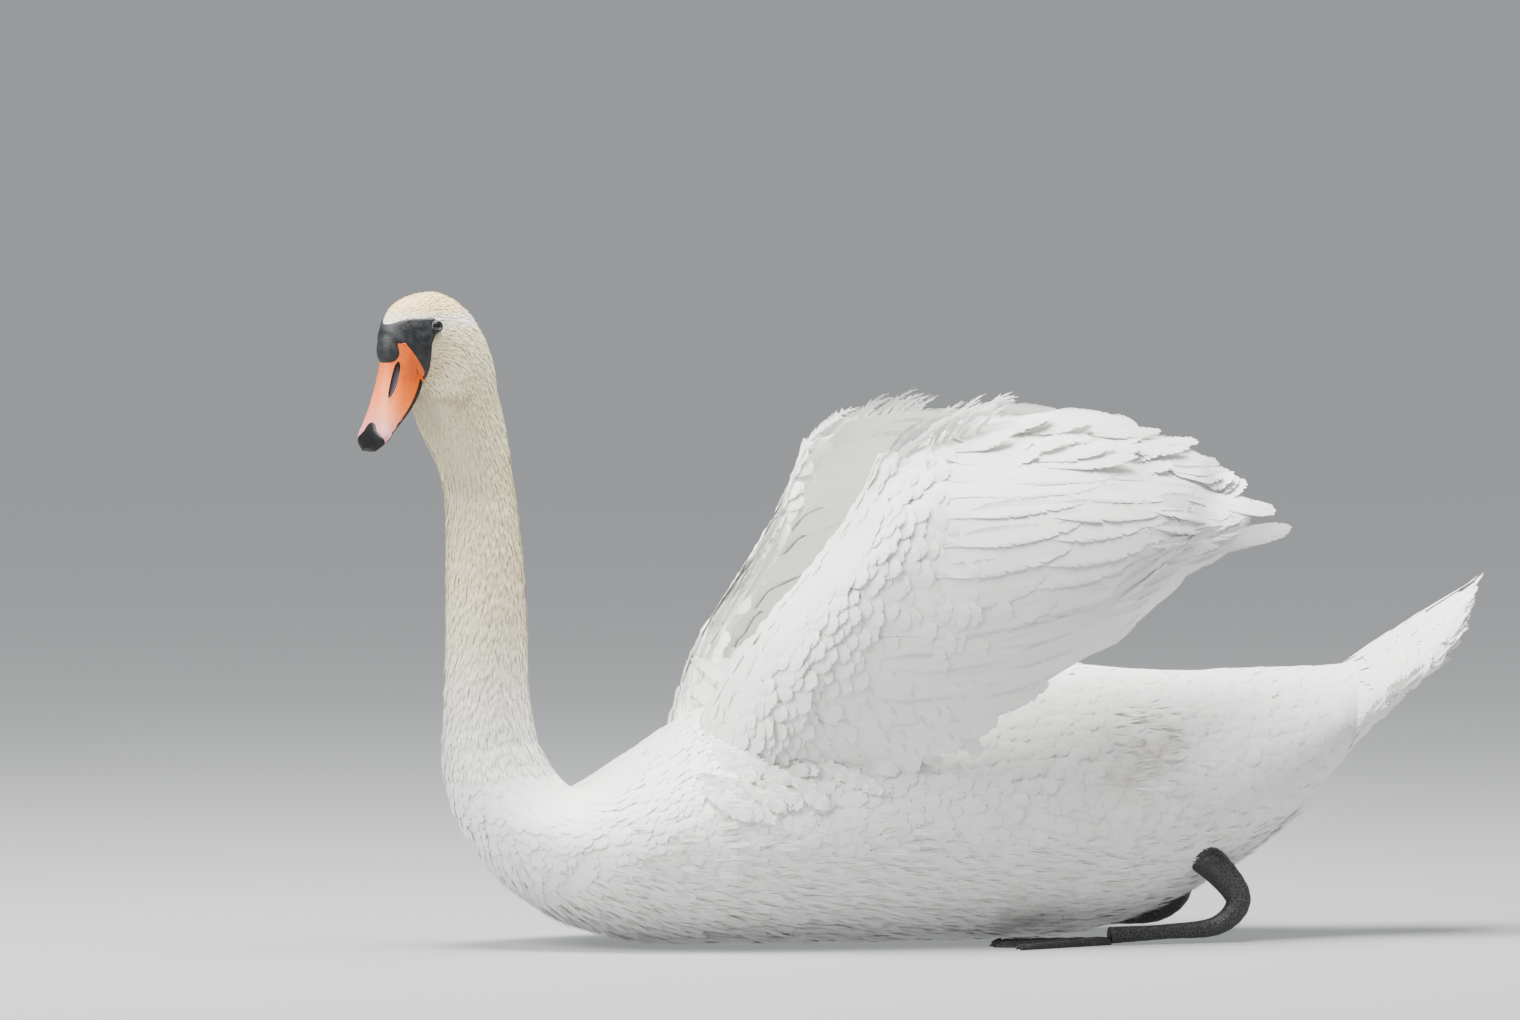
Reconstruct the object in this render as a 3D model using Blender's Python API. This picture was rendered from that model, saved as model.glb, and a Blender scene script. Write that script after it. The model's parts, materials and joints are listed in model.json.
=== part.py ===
"""Mute swan (Cygnus olor), adult cob, life size, wings arched over its back.

The bird faces -X, its left side is -Y, and it sits on the flat of its belly at z = 0.
Every form is lofted from a few named stations. A body station is a slice that stands
between two profile points in the bird's upright plane, with a half width across it.
All sizes are in metres.
"""
import math

import bmesh
import bpy
from mathutils import Vector

GAP = 0.0003            # air left between pieces that touch
CREASE = math.radians(40.0)     # edges bent more than this are drawn sharp

# ---- trunk: (low x, low z), (high x, high z), half width, from neck root to vent ----
TRUNK = [
    ((-0.3854, 0.1710), (-0.3070, 0.1710), 0.0378),
    ((-0.3850, 0.1440), (-0.2945, 0.1480), 0.0440),
    ((-0.3770, 0.1120), (-0.2730, 0.1290), 0.0570),
    ((-0.3600, 0.0800), (-0.2480, 0.1360), 0.0750),
    ((-0.3320, 0.0480), (-0.2170, 0.1590), 0.0970),
    ((-0.2880, 0.0200), (-0.1760, 0.1870), 0.1200),
    ((-0.2280, 0.0030), (-0.1270, 0.2060), 0.1350),
    ((-0.1600, -0.003), (-0.0740, 0.2220), 0.1440),
    ((-0.0840, -0.005), (-0.0170, 0.2330), 0.1470),
    ((0.0000, -0.005), (0.0480, 0.2350), 0.1450),
    ((0.0800, -0.003), (0.1160, 0.2310), 0.1390),
    ((0.1500, 0.0050), (0.1760, 0.2250), 0.1290),
    ((0.2100, 0.0230), (0.2350, 0.2215), 0.1150),
    ((0.2680, 0.0520), (0.2930, 0.2225), 0.0980),
    ((0.3180, 0.0860), (0.3440, 0.2235), 0.0800),
    ((0.3560, 0.1250), (0.3800, 0.2250), 0.0640),
]
TRUNK_ROWS, TRUNK_RING = 28, 24
TRUNK_KEEL = 0.10       # how much wider the slice is below its middle than above

# ---- neck: height, centre x, half thickness fore and aft, half width ----
NECK = [
    (0.1713, -0.3462, 0.0392, 0.0378),
    (0.2090, -0.3483, 0.0354, 0.0346),
    (0.2480, -0.3485, 0.0341, 0.0335),
    (0.2815, -0.3490, 0.0335, 0.0331),
    (0.3180, -0.3503, 0.0323, 0.0321),
    (0.3500, -0.3522, 0.0307, 0.0306),
    (0.3827, -0.3556, 0.0292, 0.0291),
]
NECK_CUTS = {"neck_lower": (0.0, 0.34), "neck_middle": (0.34, 0.67), "neck_upper": (0.67, 1.0)}
NECK_RING, NECK_ROWS = 24, 6

# ---- head: same slices as the trunk, in the turned upright plane of the head ----
HEAD_TURN = math.radians(29.0)          # the head looks this far towards its left
HEAD_AXIS = Vector((-0.3556, 0.0, 0.0))  # upright axis that the head turns on
HEAD = [
    ((0.0292, 0.3830), (-0.0292, 0.3830), 0.0291),
    ((0.0430, 0.4040), (-0.0265, 0.4068), 0.0288),
    ((0.0560, 0.4230), (-0.0222, 0.4306), 0.0288),
    ((0.0635, 0.4380), (-0.0150, 0.4552), 0.0291),
    ((0.0680, 0.4480), (-0.0092, 0.4808), 0.0294),
    ((0.0703, 0.4522), (0.0033, 0.5058), 0.0290),
    ((0.0711, 0.4543), (0.0227, 0.5252), 0.0281),
    ((0.0719, 0.4560), (0.0463, 0.5353), 0.0266),
    ((0.0726, 0.4575), (0.0719, 0.5341), 0.0245),
    ((0.0733, 0.4588), (0.0921, 0.5250), 0.0213),
    ((0.0740, 0.4600), (0.1020, 0.5060), 0.0180),
]
HEAD_ROWS, HEAD_RING = 17, 22
HEAD_KEEL = 0.06
CHEEK = 0.5             # how square the slice is below, where it meets the bill
CHEEK_START = 0.65      # share of the head's length where that begins
CHEEK_RISE = 0.6        # how far up the lower half it reaches

EYE_RADIUS = 0.0056
EYE_FORWARD, EYE_SIDE, EYE_HEIGHT = 0.0656, 0.0224, 0.5080
EYE_RINGS, EYE_ROWS = 12, 8

# ---- bill: culmen point, edge point, half width, in the head's upright plane ----
BILL = [
    ((0.1020, 0.5056), (0.0763, 0.4636), 0.0184),
    ((0.1018, 0.4880), (0.0804, 0.4538), 0.0182),
    ((0.1050, 0.4680), (0.0868, 0.4436), 0.0178),
    ((0.1100, 0.4490), (0.0966, 0.4333), 0.0178),
    ((0.1148, 0.4325), (0.1066, 0.4240), 0.0185),
    ((0.1180, 0.4215), (0.1134, 0.4168), 0.0184),
    ((0.1194, 0.4102), (0.1176, 0.4082), 0.0074),
]
BILL_ROWS, BILL_ARCH = 12, 12
BILL_FULLNESS = 0.8     # below 1 the bill's sides stand fuller than a half circle
BILL_PINCH = 0.35       # how much narrower the culmen stands than the edges, at the root
BILL_PINCH_SHARE = 0.6  # share of the bill's length over which the pinch fades
JAW_FULLNESS = 0.7
JAW_DEPTH = [0.0045, 0.0048, 0.0046, 0.0042, 0.0036, 0.0028, 0.0014]
JAW_WIDTH = 0.90        # lower half as a share of the upper half's width

KNOB_CENTRE = (0.0938, 0.4945)          # forward, height
KNOB_SIZE = (0.0110, 0.0125, 0.0165)    # half sizes: forward, across, along the forehead
KNOB_LEAN = math.radians(14.0)
KNOB_RINGS, KNOB_ROWS = 16, 10

# ---- wing: ribs from the leading edge to the tip; bottom, low, high and top points ----
WING = [
    [(-0.205, 0.030, 0.130), (-0.159, 0.085, 0.236), (-0.088, 0.122, 0.333), (-0.047, 0.142, 0.410)],
    [(-0.166, 0.094, 0.124), (-0.124, 0.148, 0.232), (-0.056, 0.167, 0.342), (0.003, 0.126, 0.429)],
    [(-0.072, 0.130, 0.146), (-0.036, 0.178, 0.245), (0.014, 0.178, 0.350), (0.060, 0.105, 0.439)],
    [(0.0215, 0.158, 0.178), (0.048, 0.188, 0.262), (0.080, 0.175, 0.355), (0.1115, 0.093, 0.440)],
    [(0.0857, 0.165, 0.219), (0.108, 0.182, 0.283), (0.136, 0.160, 0.359), (0.164, 0.083, 0.431)],
    [(0.137, 0.155, 0.248), (0.157, 0.165, 0.300), (0.181, 0.142, 0.359), (0.205, 0.074, 0.415)],
    [(0.174, 0.140, 0.280), (0.194, 0.145, 0.319), (0.216, 0.122, 0.361), (0.2386, 0.070, 0.400)],
    [(0.214, 0.125, 0.307), (0.226, 0.125, 0.331), (0.240, 0.108, 0.355), (0.253, 0.077, 0.377)],
    [(0.2560, 0.112, 0.323), (0.262, 0.110, 0.338), (0.268, 0.103, 0.353), (0.272, 0.090, 0.367)],
    [(0.3060, 0.101, 0.337), (0.308, 0.099, 0.343), (0.306, 0.095, 0.351), (0.299, 0.090, 0.360)],
]
WING_COLUMNS, WING_LEVELS = 24, 11
WING_SPACING = 1.35     # columns crowd towards the leading edge
WING_CURL = 0.012       # how far the leading edge rolls in
WING_CURL_SHARE = 0.06  # share of the wing's length that rolls in
WING_ROUND_SHARE = 0.045    # share over which the leading edge is rounded off
WING_EDGE_THICK = 0.003     # thinnest, at the very leading edge
WING_BODY_THICK = 0.010     # flesh under the arm feathers, thinning upward and rearward
WING_SEAM = GAP / 0.35      # a gap's width as a share of the grid
WING_ROOT_THICK = 0.022     # where the arm joins the body
WING_NOSE_THICK = 0.018     # rolled leading edge
WING_VANE_THICK = 0.0045    # open feathers at the rear and the top
# shares of the wing's height and length that each thickening reaches over
ROOT_LEVELS, ROOT_COLUMNS, NOSE_COLUMNS, BODY_COLUMNS = 0.42, 0.40, 0.16, 0.80
WING_STEP = 0.01        # shares stepped either way to find the wing's slope
# node: first and last column, first and last level of the shared grid
WING_PARTS = {
    "forewing": (0, 12, 0, 11),
    "secondaries": (12, 24, 5, 11),
    "primaries": (12, 24, 0, 5),
}

# ---- tail: slices like the trunk's, with the droop of their sides and the sweep of the rim ----
TAIL = [
    ((0.3563, 0.1252), (0.3803, 0.2252), 0.0640, 0.0000, 0.0000),
    ((0.3840, 0.1630), (0.4010, 0.2370), 0.0670, 0.0060, 0.0000),
    ((0.4070, 0.1950), (0.4220, 0.2490), 0.0690, 0.0120, 0.0010),
    ((0.4310, 0.2240), (0.4440, 0.2625), 0.0680, 0.0180, 0.0030),
    ((0.4540, 0.2500), (0.4640, 0.2745), 0.0620, 0.0220, 0.0060),
    ((0.4740, 0.2725), (0.4800, 0.2840), 0.0490, 0.0220, 0.0080),
    ((0.4900, 0.2885), (0.4925, 0.2915), 0.0250, 0.0100, 0.0060),
]
TAIL_ROWS = 11

# ---- legs: folded under the flanks, soles on the floor ----
LEG_PATH = [(0.1512, 0.103, 0.0080), (0.200, 0.098, 0.0100), (0.245, 0.092, 0.0140),
            (0.264, 0.089, 0.0340), (0.247, 0.086, 0.0600), (0.215, 0.082, 0.0860)]
LEG_RADII = [0.0070, 0.0062, 0.0080, 0.0105, 0.0130, 0.0160]
LEG_RING = 10
LEG_SLOPE_STEP = 0.02
FOOT_HEEL = (0.158, 0.1035)
FOOT_LENGTH = 0.108
FOOT_SPREAD = math.radians(24.0)
FOOT_TOE_OUT = math.radians(4.0)
TOE_HEIGHT, WEB_HEIGHT = 0.0068, 0.0022
TOE_SIDE = 0.93         # outer toes' share of the spread
TOE_HALF_TURN = 0.075   # half width of a toe, as a turn at full reach
TOE_TAPER = 0.45        # how much lower a toe is at its tip
FOOT_AROUND, FOOT_OUTWARD = 16, 5
FOOT_START = 0.07       # the fan starts this share of the foot's length from the heel
WEB_SCALLOP = 0.10      # how far the web draws back between toes
INNER_TOE_LENGTH = 0.93
RIM_HEIGHT = 0.6        # the fan's front rim, as a share of its height

WHITE = (0.84, 0.84, 0.82)
IVORY = (0.74, 0.68, 0.54)
ORANGE = (0.86, 0.24, 0.07)
BLACK = (0.012, 0.012, 0.012)
HORN = (0.035, 0.035, 0.033)


# ---------------------------------------------------------------- small tools
def clear_scene():
    for old in list(bpy.data.objects):
        bpy.data.objects.remove(old, do_unlink=True)


def principled(name, colour, roughness):
    material = bpy.data.materials.new(name)
    material.use_nodes = True
    shader = material.node_tree.nodes["Principled BSDF"]
    shader.inputs["Base Color"].default_value = (*colour, 1.0)
    shader.inputs["Roughness"].default_value = roughness
    shader.inputs["Metallic"].default_value = 0.0
    return material


def flat_row(station):
    """A station's nested points and sizes as one plain list of numbers."""
    numbers = []
    for entry in station:
        if isinstance(entry, (tuple, list)):
            numbers.extend(entry)
        else:
            numbers.append(entry)
    return numbers


def through(rows, t):
    """Values at t (0 to 1) on a smooth curve through equally spaced rows of numbers."""
    last = len(rows) - 1
    place = min(max(t, 0.0), 1.0) * last
    i = min(int(place), last - 1)
    f = place - i
    p1, p2 = rows[i], rows[i + 1]
    p0 = rows[i - 1] if i > 0 else [2 * a - b for a, b in zip(p1, p2)]
    p3 = rows[i + 2] if i + 2 <= last else [2 * b - a for a, b in zip(p1, p2)]
    return [
        0.5 * (2 * b + (c - a) * f + (2 * a - 5 * b + 4 * c - d) * f * f
               + (3 * b - a - 3 * c + d) * f ** 3)
        for a, b, c, d in zip(p0, p1, p2, p3)
    ]


def head_point(forward, side, height):
    """Head frame to body frame: forward along the look, side towards the bird's left."""
    look = Vector((-math.cos(HEAD_TURN), -math.sin(HEAD_TURN), 0.0))
    left = Vector((-look.y, look.x, 0.0))
    return HEAD_AXIS + look * forward + left * side + Vector((0.0, 0.0, height))


def body_point(forward, side, height):
    return Vector((forward, -side, height))


def slice_ring(place, low, high, half_width, count, keel, grow=0.0, cheek=0.0):
    """Egg-shaped slice between a low and a high profile point, fuller below its middle."""
    middle = ((low[0] + high[0]) / 2, (low[1] + high[1]) / 2)
    reach = ((high[0] - low[0]) / 2, (high[1] - low[1]) / 2)
    stretch = 1.0 + grow / math.hypot(*reach)
    ring = []
    for i in range(count):
        turn = 2 * math.pi * i / count
        up, out = math.cos(turn), math.sin(turn)
        square = cheek * min(max(-up / CHEEK_RISE, 0.0), 1.0)
        out = math.copysign(abs(out) ** (1.0 - square), out)
        side = (half_width + grow) * out * (1.0 - keel * up)
        ring.append(place(middle[0] + reach[0] * up * stretch, side,
                          middle[1] + reach[1] * up * stretch))
    return ring


def join_rows(mesh, row, nearby, closed=False):
    """Two triangles between each pair of neighbours, always split the same way."""
    count = len(row)
    for i in range(count if closed else count - 1):
        j = (i + 1) % count
        mesh.faces.new((row[i], row[j], nearby[j]))
        mesh.faces.new((row[i], nearby[j], nearby[i]))


def loft(name, rings, material):
    """Closed body through rings of equal count; the end rings get flat lids."""
    mesh = bmesh.new()
    rows = [[mesh.verts.new(point) for point in ring] for ring in rings]
    for lower, upper in zip(rows, rows[1:]):
        join_rows(mesh, lower, upper, closed=True)
    mesh.faces.new(rows[0])
    mesh.faces.new(rows[-1])
    return finish(name, mesh, material)


def finish(name, mesh, material):
    bmesh.ops.recalc_face_normals(mesh, faces=mesh.faces)
    if mesh.calc_volume(signed=True) < 0:
        bmesh.ops.reverse_faces(mesh, faces=mesh.faces)
    data = bpy.data.meshes.new(name)
    mesh.to_mesh(data)
    mesh.free()
    data.shade_smooth()
    data.set_sharp_from_angle(angle=CREASE)
    data.materials.append(material)
    piece = bpy.data.objects.new(name, data)
    bpy.context.scene.collection.objects.link(piece)
    return piece


def as_cutter(piece):
    piece.hide_render = True
    piece.display_type = "WIRE"
    return piece


def cut_away(piece, cutter):
    """Leave in piece only what lies outside the cutter."""
    cut = piece.modifiers.new("clear_of_" + cutter.name, "BOOLEAN")
    cut.operation = "DIFFERENCE"
    cut.solver = "EXACT"
    cut.object = cutter


# ---------------------------------------------------------------- body pieces
def trunk_rings(grow=0.0):
    rows = [flat_row(station) for station in TRUNK]
    rings = []
    for k in range(TRUNK_ROWS + 1):
        low_x, low_z, high_x, high_z, width = through(rows, k / TRUNK_ROWS)
        ring = slice_ring(body_point, (low_x, low_z), (high_x, high_z), width,
                          TRUNK_RING, TRUNK_KEEL, grow)
        for point in ring:
            point.z = max(point.z, -grow)
        rings.append(ring)
    return rings


def build_trunk(material):
    return loft("trunk", trunk_rings(), material)


def build_neck(material):
    for name, (start, end) in NECK_CUTS.items():
        rings = []
        for k in range(NECK_ROWS + 1):
            share = start + (end - start) * k / NECK_ROWS
            height, x, deep, wide = through(NECK, share)
            if k == 0 and start > 0:
                height += GAP
            ring = [Vector((x + deep * math.cos(a), wide * math.sin(a), height))
                    for a in (2 * math.pi * i / NECK_RING for i in range(NECK_RING))]
            rings.append(ring)
        loft(name, rings, material)


def head_rings(grow=0.0):
    rows = [flat_row(station) for station in HEAD]
    rings = []
    for k in range(HEAD_ROWS + 1):
        share = k / HEAD_ROWS
        low_a, low_z, high_a, high_z, width = through(rows, share)
        cheek = CHEEK * max(0.0, (share - CHEEK_START) / (1.0 - CHEEK_START))
        rings.append(slice_ring(head_point, (low_a, low_z), (high_a, high_z), width,
                                HEAD_RING, HEAD_KEEL, grow, cheek))
    return rings


def eye_ball(name, side, radius, material):
    mesh = bmesh.new()
    bmesh.ops.create_uvsphere(mesh, u_segments=EYE_RINGS, v_segments=EYE_ROWS, radius=radius)
    bmesh.ops.translate(mesh, vec=head_point(EYE_FORWARD, side * EYE_SIDE, EYE_HEIGHT),
                        verts=mesh.verts)
    return finish(name, mesh, material)


def build_head(feathers, eye_material):
    head = loft("head", head_rings(), feathers)
    for name, side in (("eye_left", 1), ("eye_right", -1)):
        eye_ball(name, side, EYE_RADIUS, eye_material)
        socket = as_cutter(eye_ball("socket_" + name, side, EYE_RADIUS + GAP, eye_material))
        cut_away(head, socket)
    return head


def bill_station(share):
    rows = [flat_row(station) + [depth] for station, depth in zip(BILL, JAW_DEPTH)]
    return through(rows, share)


def bill_rings(grow=0.0):
    rings = []
    for k in range(BILL_ROWS + 1):
        top_a, top_z, edge_a, edge_z, width, _ = bill_station(k / BILL_ROWS)
        pinch = BILL_PINCH * max(0.0, 1.0 - k / BILL_ROWS / BILL_PINCH_SHARE)
        ring = []
        for i in range(BILL_ARCH + 1):
            turn = math.pi * i / BILL_ARCH
            up = max(math.sin(turn), 0.0) ** BILL_FULLNESS
            side = (width + grow) * math.cos(turn) * (1.0 - pinch * up)
            rise = up * (1.0 + grow / math.hypot(top_a - edge_a, top_z - edge_z))
            ring.append(head_point(edge_a + (top_a - edge_a) * rise, side,
                                   edge_z + (top_z - edge_z) * rise))
        rings.append(ring)
    return rings


def jaw_rings():
    rings = []
    for k in range(BILL_ROWS + 1):
        top_a, top_z, edge_a, edge_z, width, depth = bill_station(k / BILL_ROWS)
        down = Vector((edge_a - top_a, edge_z - top_z)).normalized()
        ring = []
        for i in range(BILL_ARCH + 1):
            turn = math.pi * i / BILL_ARCH
            drop = GAP + depth * max(math.sin(turn), 0.0) ** JAW_FULLNESS
            ring.append(head_point(edge_a + down.x * drop, width * JAW_WIDTH * math.cos(turn),
                                   edge_z + down.y * drop))
        rings.append(ring)
    return rings


def build_bill(horn, black):
    loft("bill_upper", bill_rings(), horn)
    loft("bill_lower", jaw_rings(), black)
    mesh = bmesh.new()
    bmesh.ops.create_uvsphere(mesh, u_segments=KNOB_RINGS, v_segments=KNOB_ROWS, radius=1.0)
    for vert in mesh.verts:
        forward, side, rise = (value * size for value, size in zip(vert.co, KNOB_SIZE))
        lean_a = forward * math.cos(KNOB_LEAN) - rise * math.sin(KNOB_LEAN)
        lean_z = forward * math.sin(KNOB_LEAN) + rise * math.cos(KNOB_LEAN)
        vert.co = head_point(KNOB_CENTRE[0] + lean_a, side, KNOB_CENTRE[1] + lean_z)
    knob = finish("bill_knob", mesh, black)
    cut_away(knob, as_cutter(loft("clearance_head", head_rings(GAP), black)))
    cut_away(knob, as_cutter(loft("clearance_bill", bill_rings(GAP), black)))


# ---------------------------------------------------------------- wings
def wing_point(column, level):
    """Outer face of a wing at shares 0 to 1 from leading edge to tip and bottom to top."""
    across = [through(rib, level) for rib in WING]
    point = Vector(through(across, column))
    point.y -= WING_CURL * max(0.0, 1.0 - column / WING_CURL_SHARE) ** 2
    return point


def wing_thickness(column, level):
    """Deep at the arm, rolled at the leading edge, thin towards the open feathers."""
    root = max(0.0, 1.0 - level / ROOT_LEVELS) ** 1.5 * max(0.0, 1.0 - column / ROOT_COLUMNS)
    nose = max(0.0, 1.0 - column / NOSE_COLUMNS) * (1.0 - 0.75 * level)
    flesh = (1.0 - level) * max(0.0, 1.0 - column / BODY_COLUMNS)
    depth = (WING_VANE_THICK + WING_BODY_THICK * flesh
             + WING_ROOT_THICK * root + WING_NOSE_THICK * nose)
    inside = 1.0 - min(1.0, column / WING_ROUND_SHARE)
    return WING_EDGE_THICK + (depth - WING_EDGE_THICK) * math.sqrt(1.0 - inside ** 2)


def wing_inward(column, level):
    """Unit vector from the outer face into the wing."""
    behind = max(column, WING_CURL_SHARE)
    along = wing_point(behind + WING_STEP, level) - wing_point(behind - WING_STEP, level)
    up = (wing_point(column, min(level + WING_STEP, 1.0))
          - wing_point(column, max(level - WING_STEP, 0.0)))
    return along.cross(up).normalized()


def build_wing_part(name, side, first_column, last_column, first_level, last_level, material):
    mesh = bmesh.new()
    outer, inner = [], []
    for i in range(first_column, last_column + 1):
        outer_row, inner_row = [], []
        for j in range(first_level, last_level + 1):
            column, level = (i / WING_COLUMNS) ** WING_SPACING, j / WING_LEVELS
            if i == first_column and i > 0:
                column += WING_SEAM / 2
            if i == last_column and i < WING_COLUMNS:
                column -= WING_SEAM / 2
            if j == first_level and j > 0:
                level += WING_SEAM
            if j == last_level and j < WING_LEVELS:
                level -= WING_SEAM
            skin = wing_point(column, level)
            back = skin + wing_inward(column, level) * wing_thickness(column, level)
            outer_row.append(mesh.verts.new((skin.x, side * skin.y, skin.z)))
            inner_row.append(mesh.verts.new((back.x, side * back.y, back.z)))
        outer.append(outer_row)
        inner.append(inner_row)
    for sheet in (outer, inner):
        for row, nearby in zip(sheet, sheet[1:]):
            join_rows(mesh, row, nearby)
    rims = (
        (outer[0], inner[0]),
        (outer[-1], inner[-1]),
        ([row[0] for row in outer], [row[0] for row in inner]),
        ([row[-1] for row in outer], [row[-1] for row in inner]),
    )
    for skin_edge, back_edge in rims:
        join_rows(mesh, skin_edge, back_edge)
    return finish(name, mesh, material)


def build_wings(material, body_clearance):
    for hand, side in (("left", -1), ("right", 1)):
        for part, grid in WING_PARTS.items():
            piece = build_wing_part(f"wing_{hand}_{part}", side, *grid, material)
            if part == "forewing":
                cut_away(piece, body_clearance)


# ---------------------------------------------------------------- tail and legs
def build_tail(material):
    rows = [flat_row(station) for station in TAIL]
    rings = []
    for k in range(TAIL_ROWS + 1):
        low_x, low_z, high_x, high_z, width, droop, sweep = through(rows, k / TAIL_ROWS)
        ring = slice_ring(body_point, (low_x, low_z), (high_x, high_z), width,
                          TRUNK_RING, TRUNK_KEEL * (1 - k / TAIL_ROWS))
        for point in ring:
            aside = (point.y / width) ** 2
            point.z -= droop * aside
            point.x -= sweep * aside
        rings.append(ring)
    return loft("tail", rings, material)


def build_legs(material, body_clearance):
    for hand, side in (("left", -1), ("right", 1)):
        rings = []
        steps = 2 * (len(LEG_PATH) - 1)
        for k in range(steps + 1):
            share = k / steps
            centre = Vector(through(LEG_PATH, share))
            ahead = Vector(through(LEG_PATH, min(share + LEG_SLOPE_STEP, 1.0)))
            behind = Vector(through(LEG_PATH, max(share - LEG_SLOPE_STEP, 0.0)))
            radius = through([[r] for r in LEG_RADII], share)[0]
            along = (ahead - behind).normalized()
            across = Vector((0, 1, 0)).cross(along).normalized()
            third = along.cross(across)
            ring = []
            for i in range(LEG_RING):
                turn = 2 * math.pi * i / LEG_RING
                point = centre + (across * math.cos(turn) + third * math.sin(turn)) * radius
                ring.append(Vector((point.x, side * point.y, point.z)))
            rings.append(ring)
        leg = loft(f"leg_{hand}", rings, material)
        cut_away(leg, body_clearance)


def toe_lift(turn, reach):
    """Height of the foot's upper face: three round toes with a low web between them."""
    lift = WEB_HEIGHT
    for toe in (-1.0, 0.0, 1.0):
        off = (turn - toe * FOOT_SPREAD * TOE_SIDE) * max(reach, 0.25)
        bump = math.exp(-(off / TOE_HALF_TURN) ** 2) * (1.1 - TOE_TAPER * reach)
        lift = max(lift, WEB_HEIGHT + (TOE_HEIGHT - WEB_HEIGHT) * bump)
    return lift


def build_feet(material):
    for hand, side in (("left", -1), ("right", 1)):
        mesh = bmesh.new()
        top, sole = [], []
        for i in range(FOOT_AROUND + 1):
            turn = FOOT_SPREAD * (2 * i / FOOT_AROUND - 1)
            scallop = 1 + WEB_SCALLOP * (math.cos(turn / FOOT_SPREAD * 2 * math.pi) - 1)
            outer = INNER_TOE_LENGTH if -turn > FOOT_SPREAD * 0.6 else 1.0
            top_row, sole_row = [], []
            for k in range(FOOT_OUTWARD + 1):
                reach = FOOT_START + (1 - FOOT_START) * k / FOOT_OUTWARD
                distance = FOOT_LENGTH * reach * (1 + (scallop * outer - 1) * reach)
                heading = turn + FOOT_TOE_OUT
                x = FOOT_HEEL[0] - distance * math.cos(heading)
                y = side * (FOOT_HEEL[1] + distance * math.sin(heading))
                lift = toe_lift(turn, reach)
                if k == FOOT_OUTWARD:
                    lift *= RIM_HEIGHT
                top_row.append(mesh.verts.new((x, y, lift)))
                sole_row.append(mesh.verts.new((x, y, 0.0)))
            top.append(top_row)
            sole.append(sole_row)
        for sheet in (top, sole):
            for row, nearby in zip(sheet, sheet[1:]):
                join_rows(mesh, row, nearby)
        rims = (
            (top[0], sole[0]),
            (top[-1], sole[-1]),
            ([row[0] for row in top], [row[0] for row in sole]),
            ([row[-1] for row in top], [row[-1] for row in sole]),
        )
        for upper, lower in rims:
            join_rows(mesh, upper, lower)
        finish(f"foot_{hand}", mesh, material)


def centre_on_origin():
    """Put the middle of the bird's length over the origin."""
    reach = [vert.co.x for piece in bpy.data.objects if not piece.hide_render
             for vert in piece.data.vertices]
    middle = (min(reach) + max(reach)) / 2
    for piece in bpy.data.objects:
        piece.location.x = -middle


def main():
    clear_scene()
    feathers = principled("white_feathers", WHITE, 0.75)
    stained = principled("ivory_feathers", IVORY, 0.75)
    orange = principled("orange_horn", ORANGE, 0.45)
    black = principled("black_skin", BLACK, 0.5)
    eye_dark = principled("eye_brown_black", BLACK, 0.08)
    leg_skin = principled("leg_scales", HORN, 0.55)

    build_trunk(feathers)
    body_clearance = as_cutter(loft("clearance_trunk", trunk_rings(GAP), feathers))
    build_neck(stained)
    build_head(stained, eye_dark)
    build_bill(orange, black)
    build_wings(feathers, body_clearance)
    build_tail(feathers)
    build_legs(leg_skin, body_clearance)
    build_feet(leg_skin)
    centre_on_origin()


main()
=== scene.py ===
"""Mute swan sitting on its belly: skin, coat of feathers, bill, eyes, legs and a plain studio.

The CAD frame gives the places. Forms are the frame's own lofts, repeated here from the same
named stations so that the coat can follow them. Sizes are metres. The bird faces -X, its left
is -Y. Everything is laid out where the stations are, and SHIFT moves each mesh as it is made.
"""
import json
import math

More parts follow.
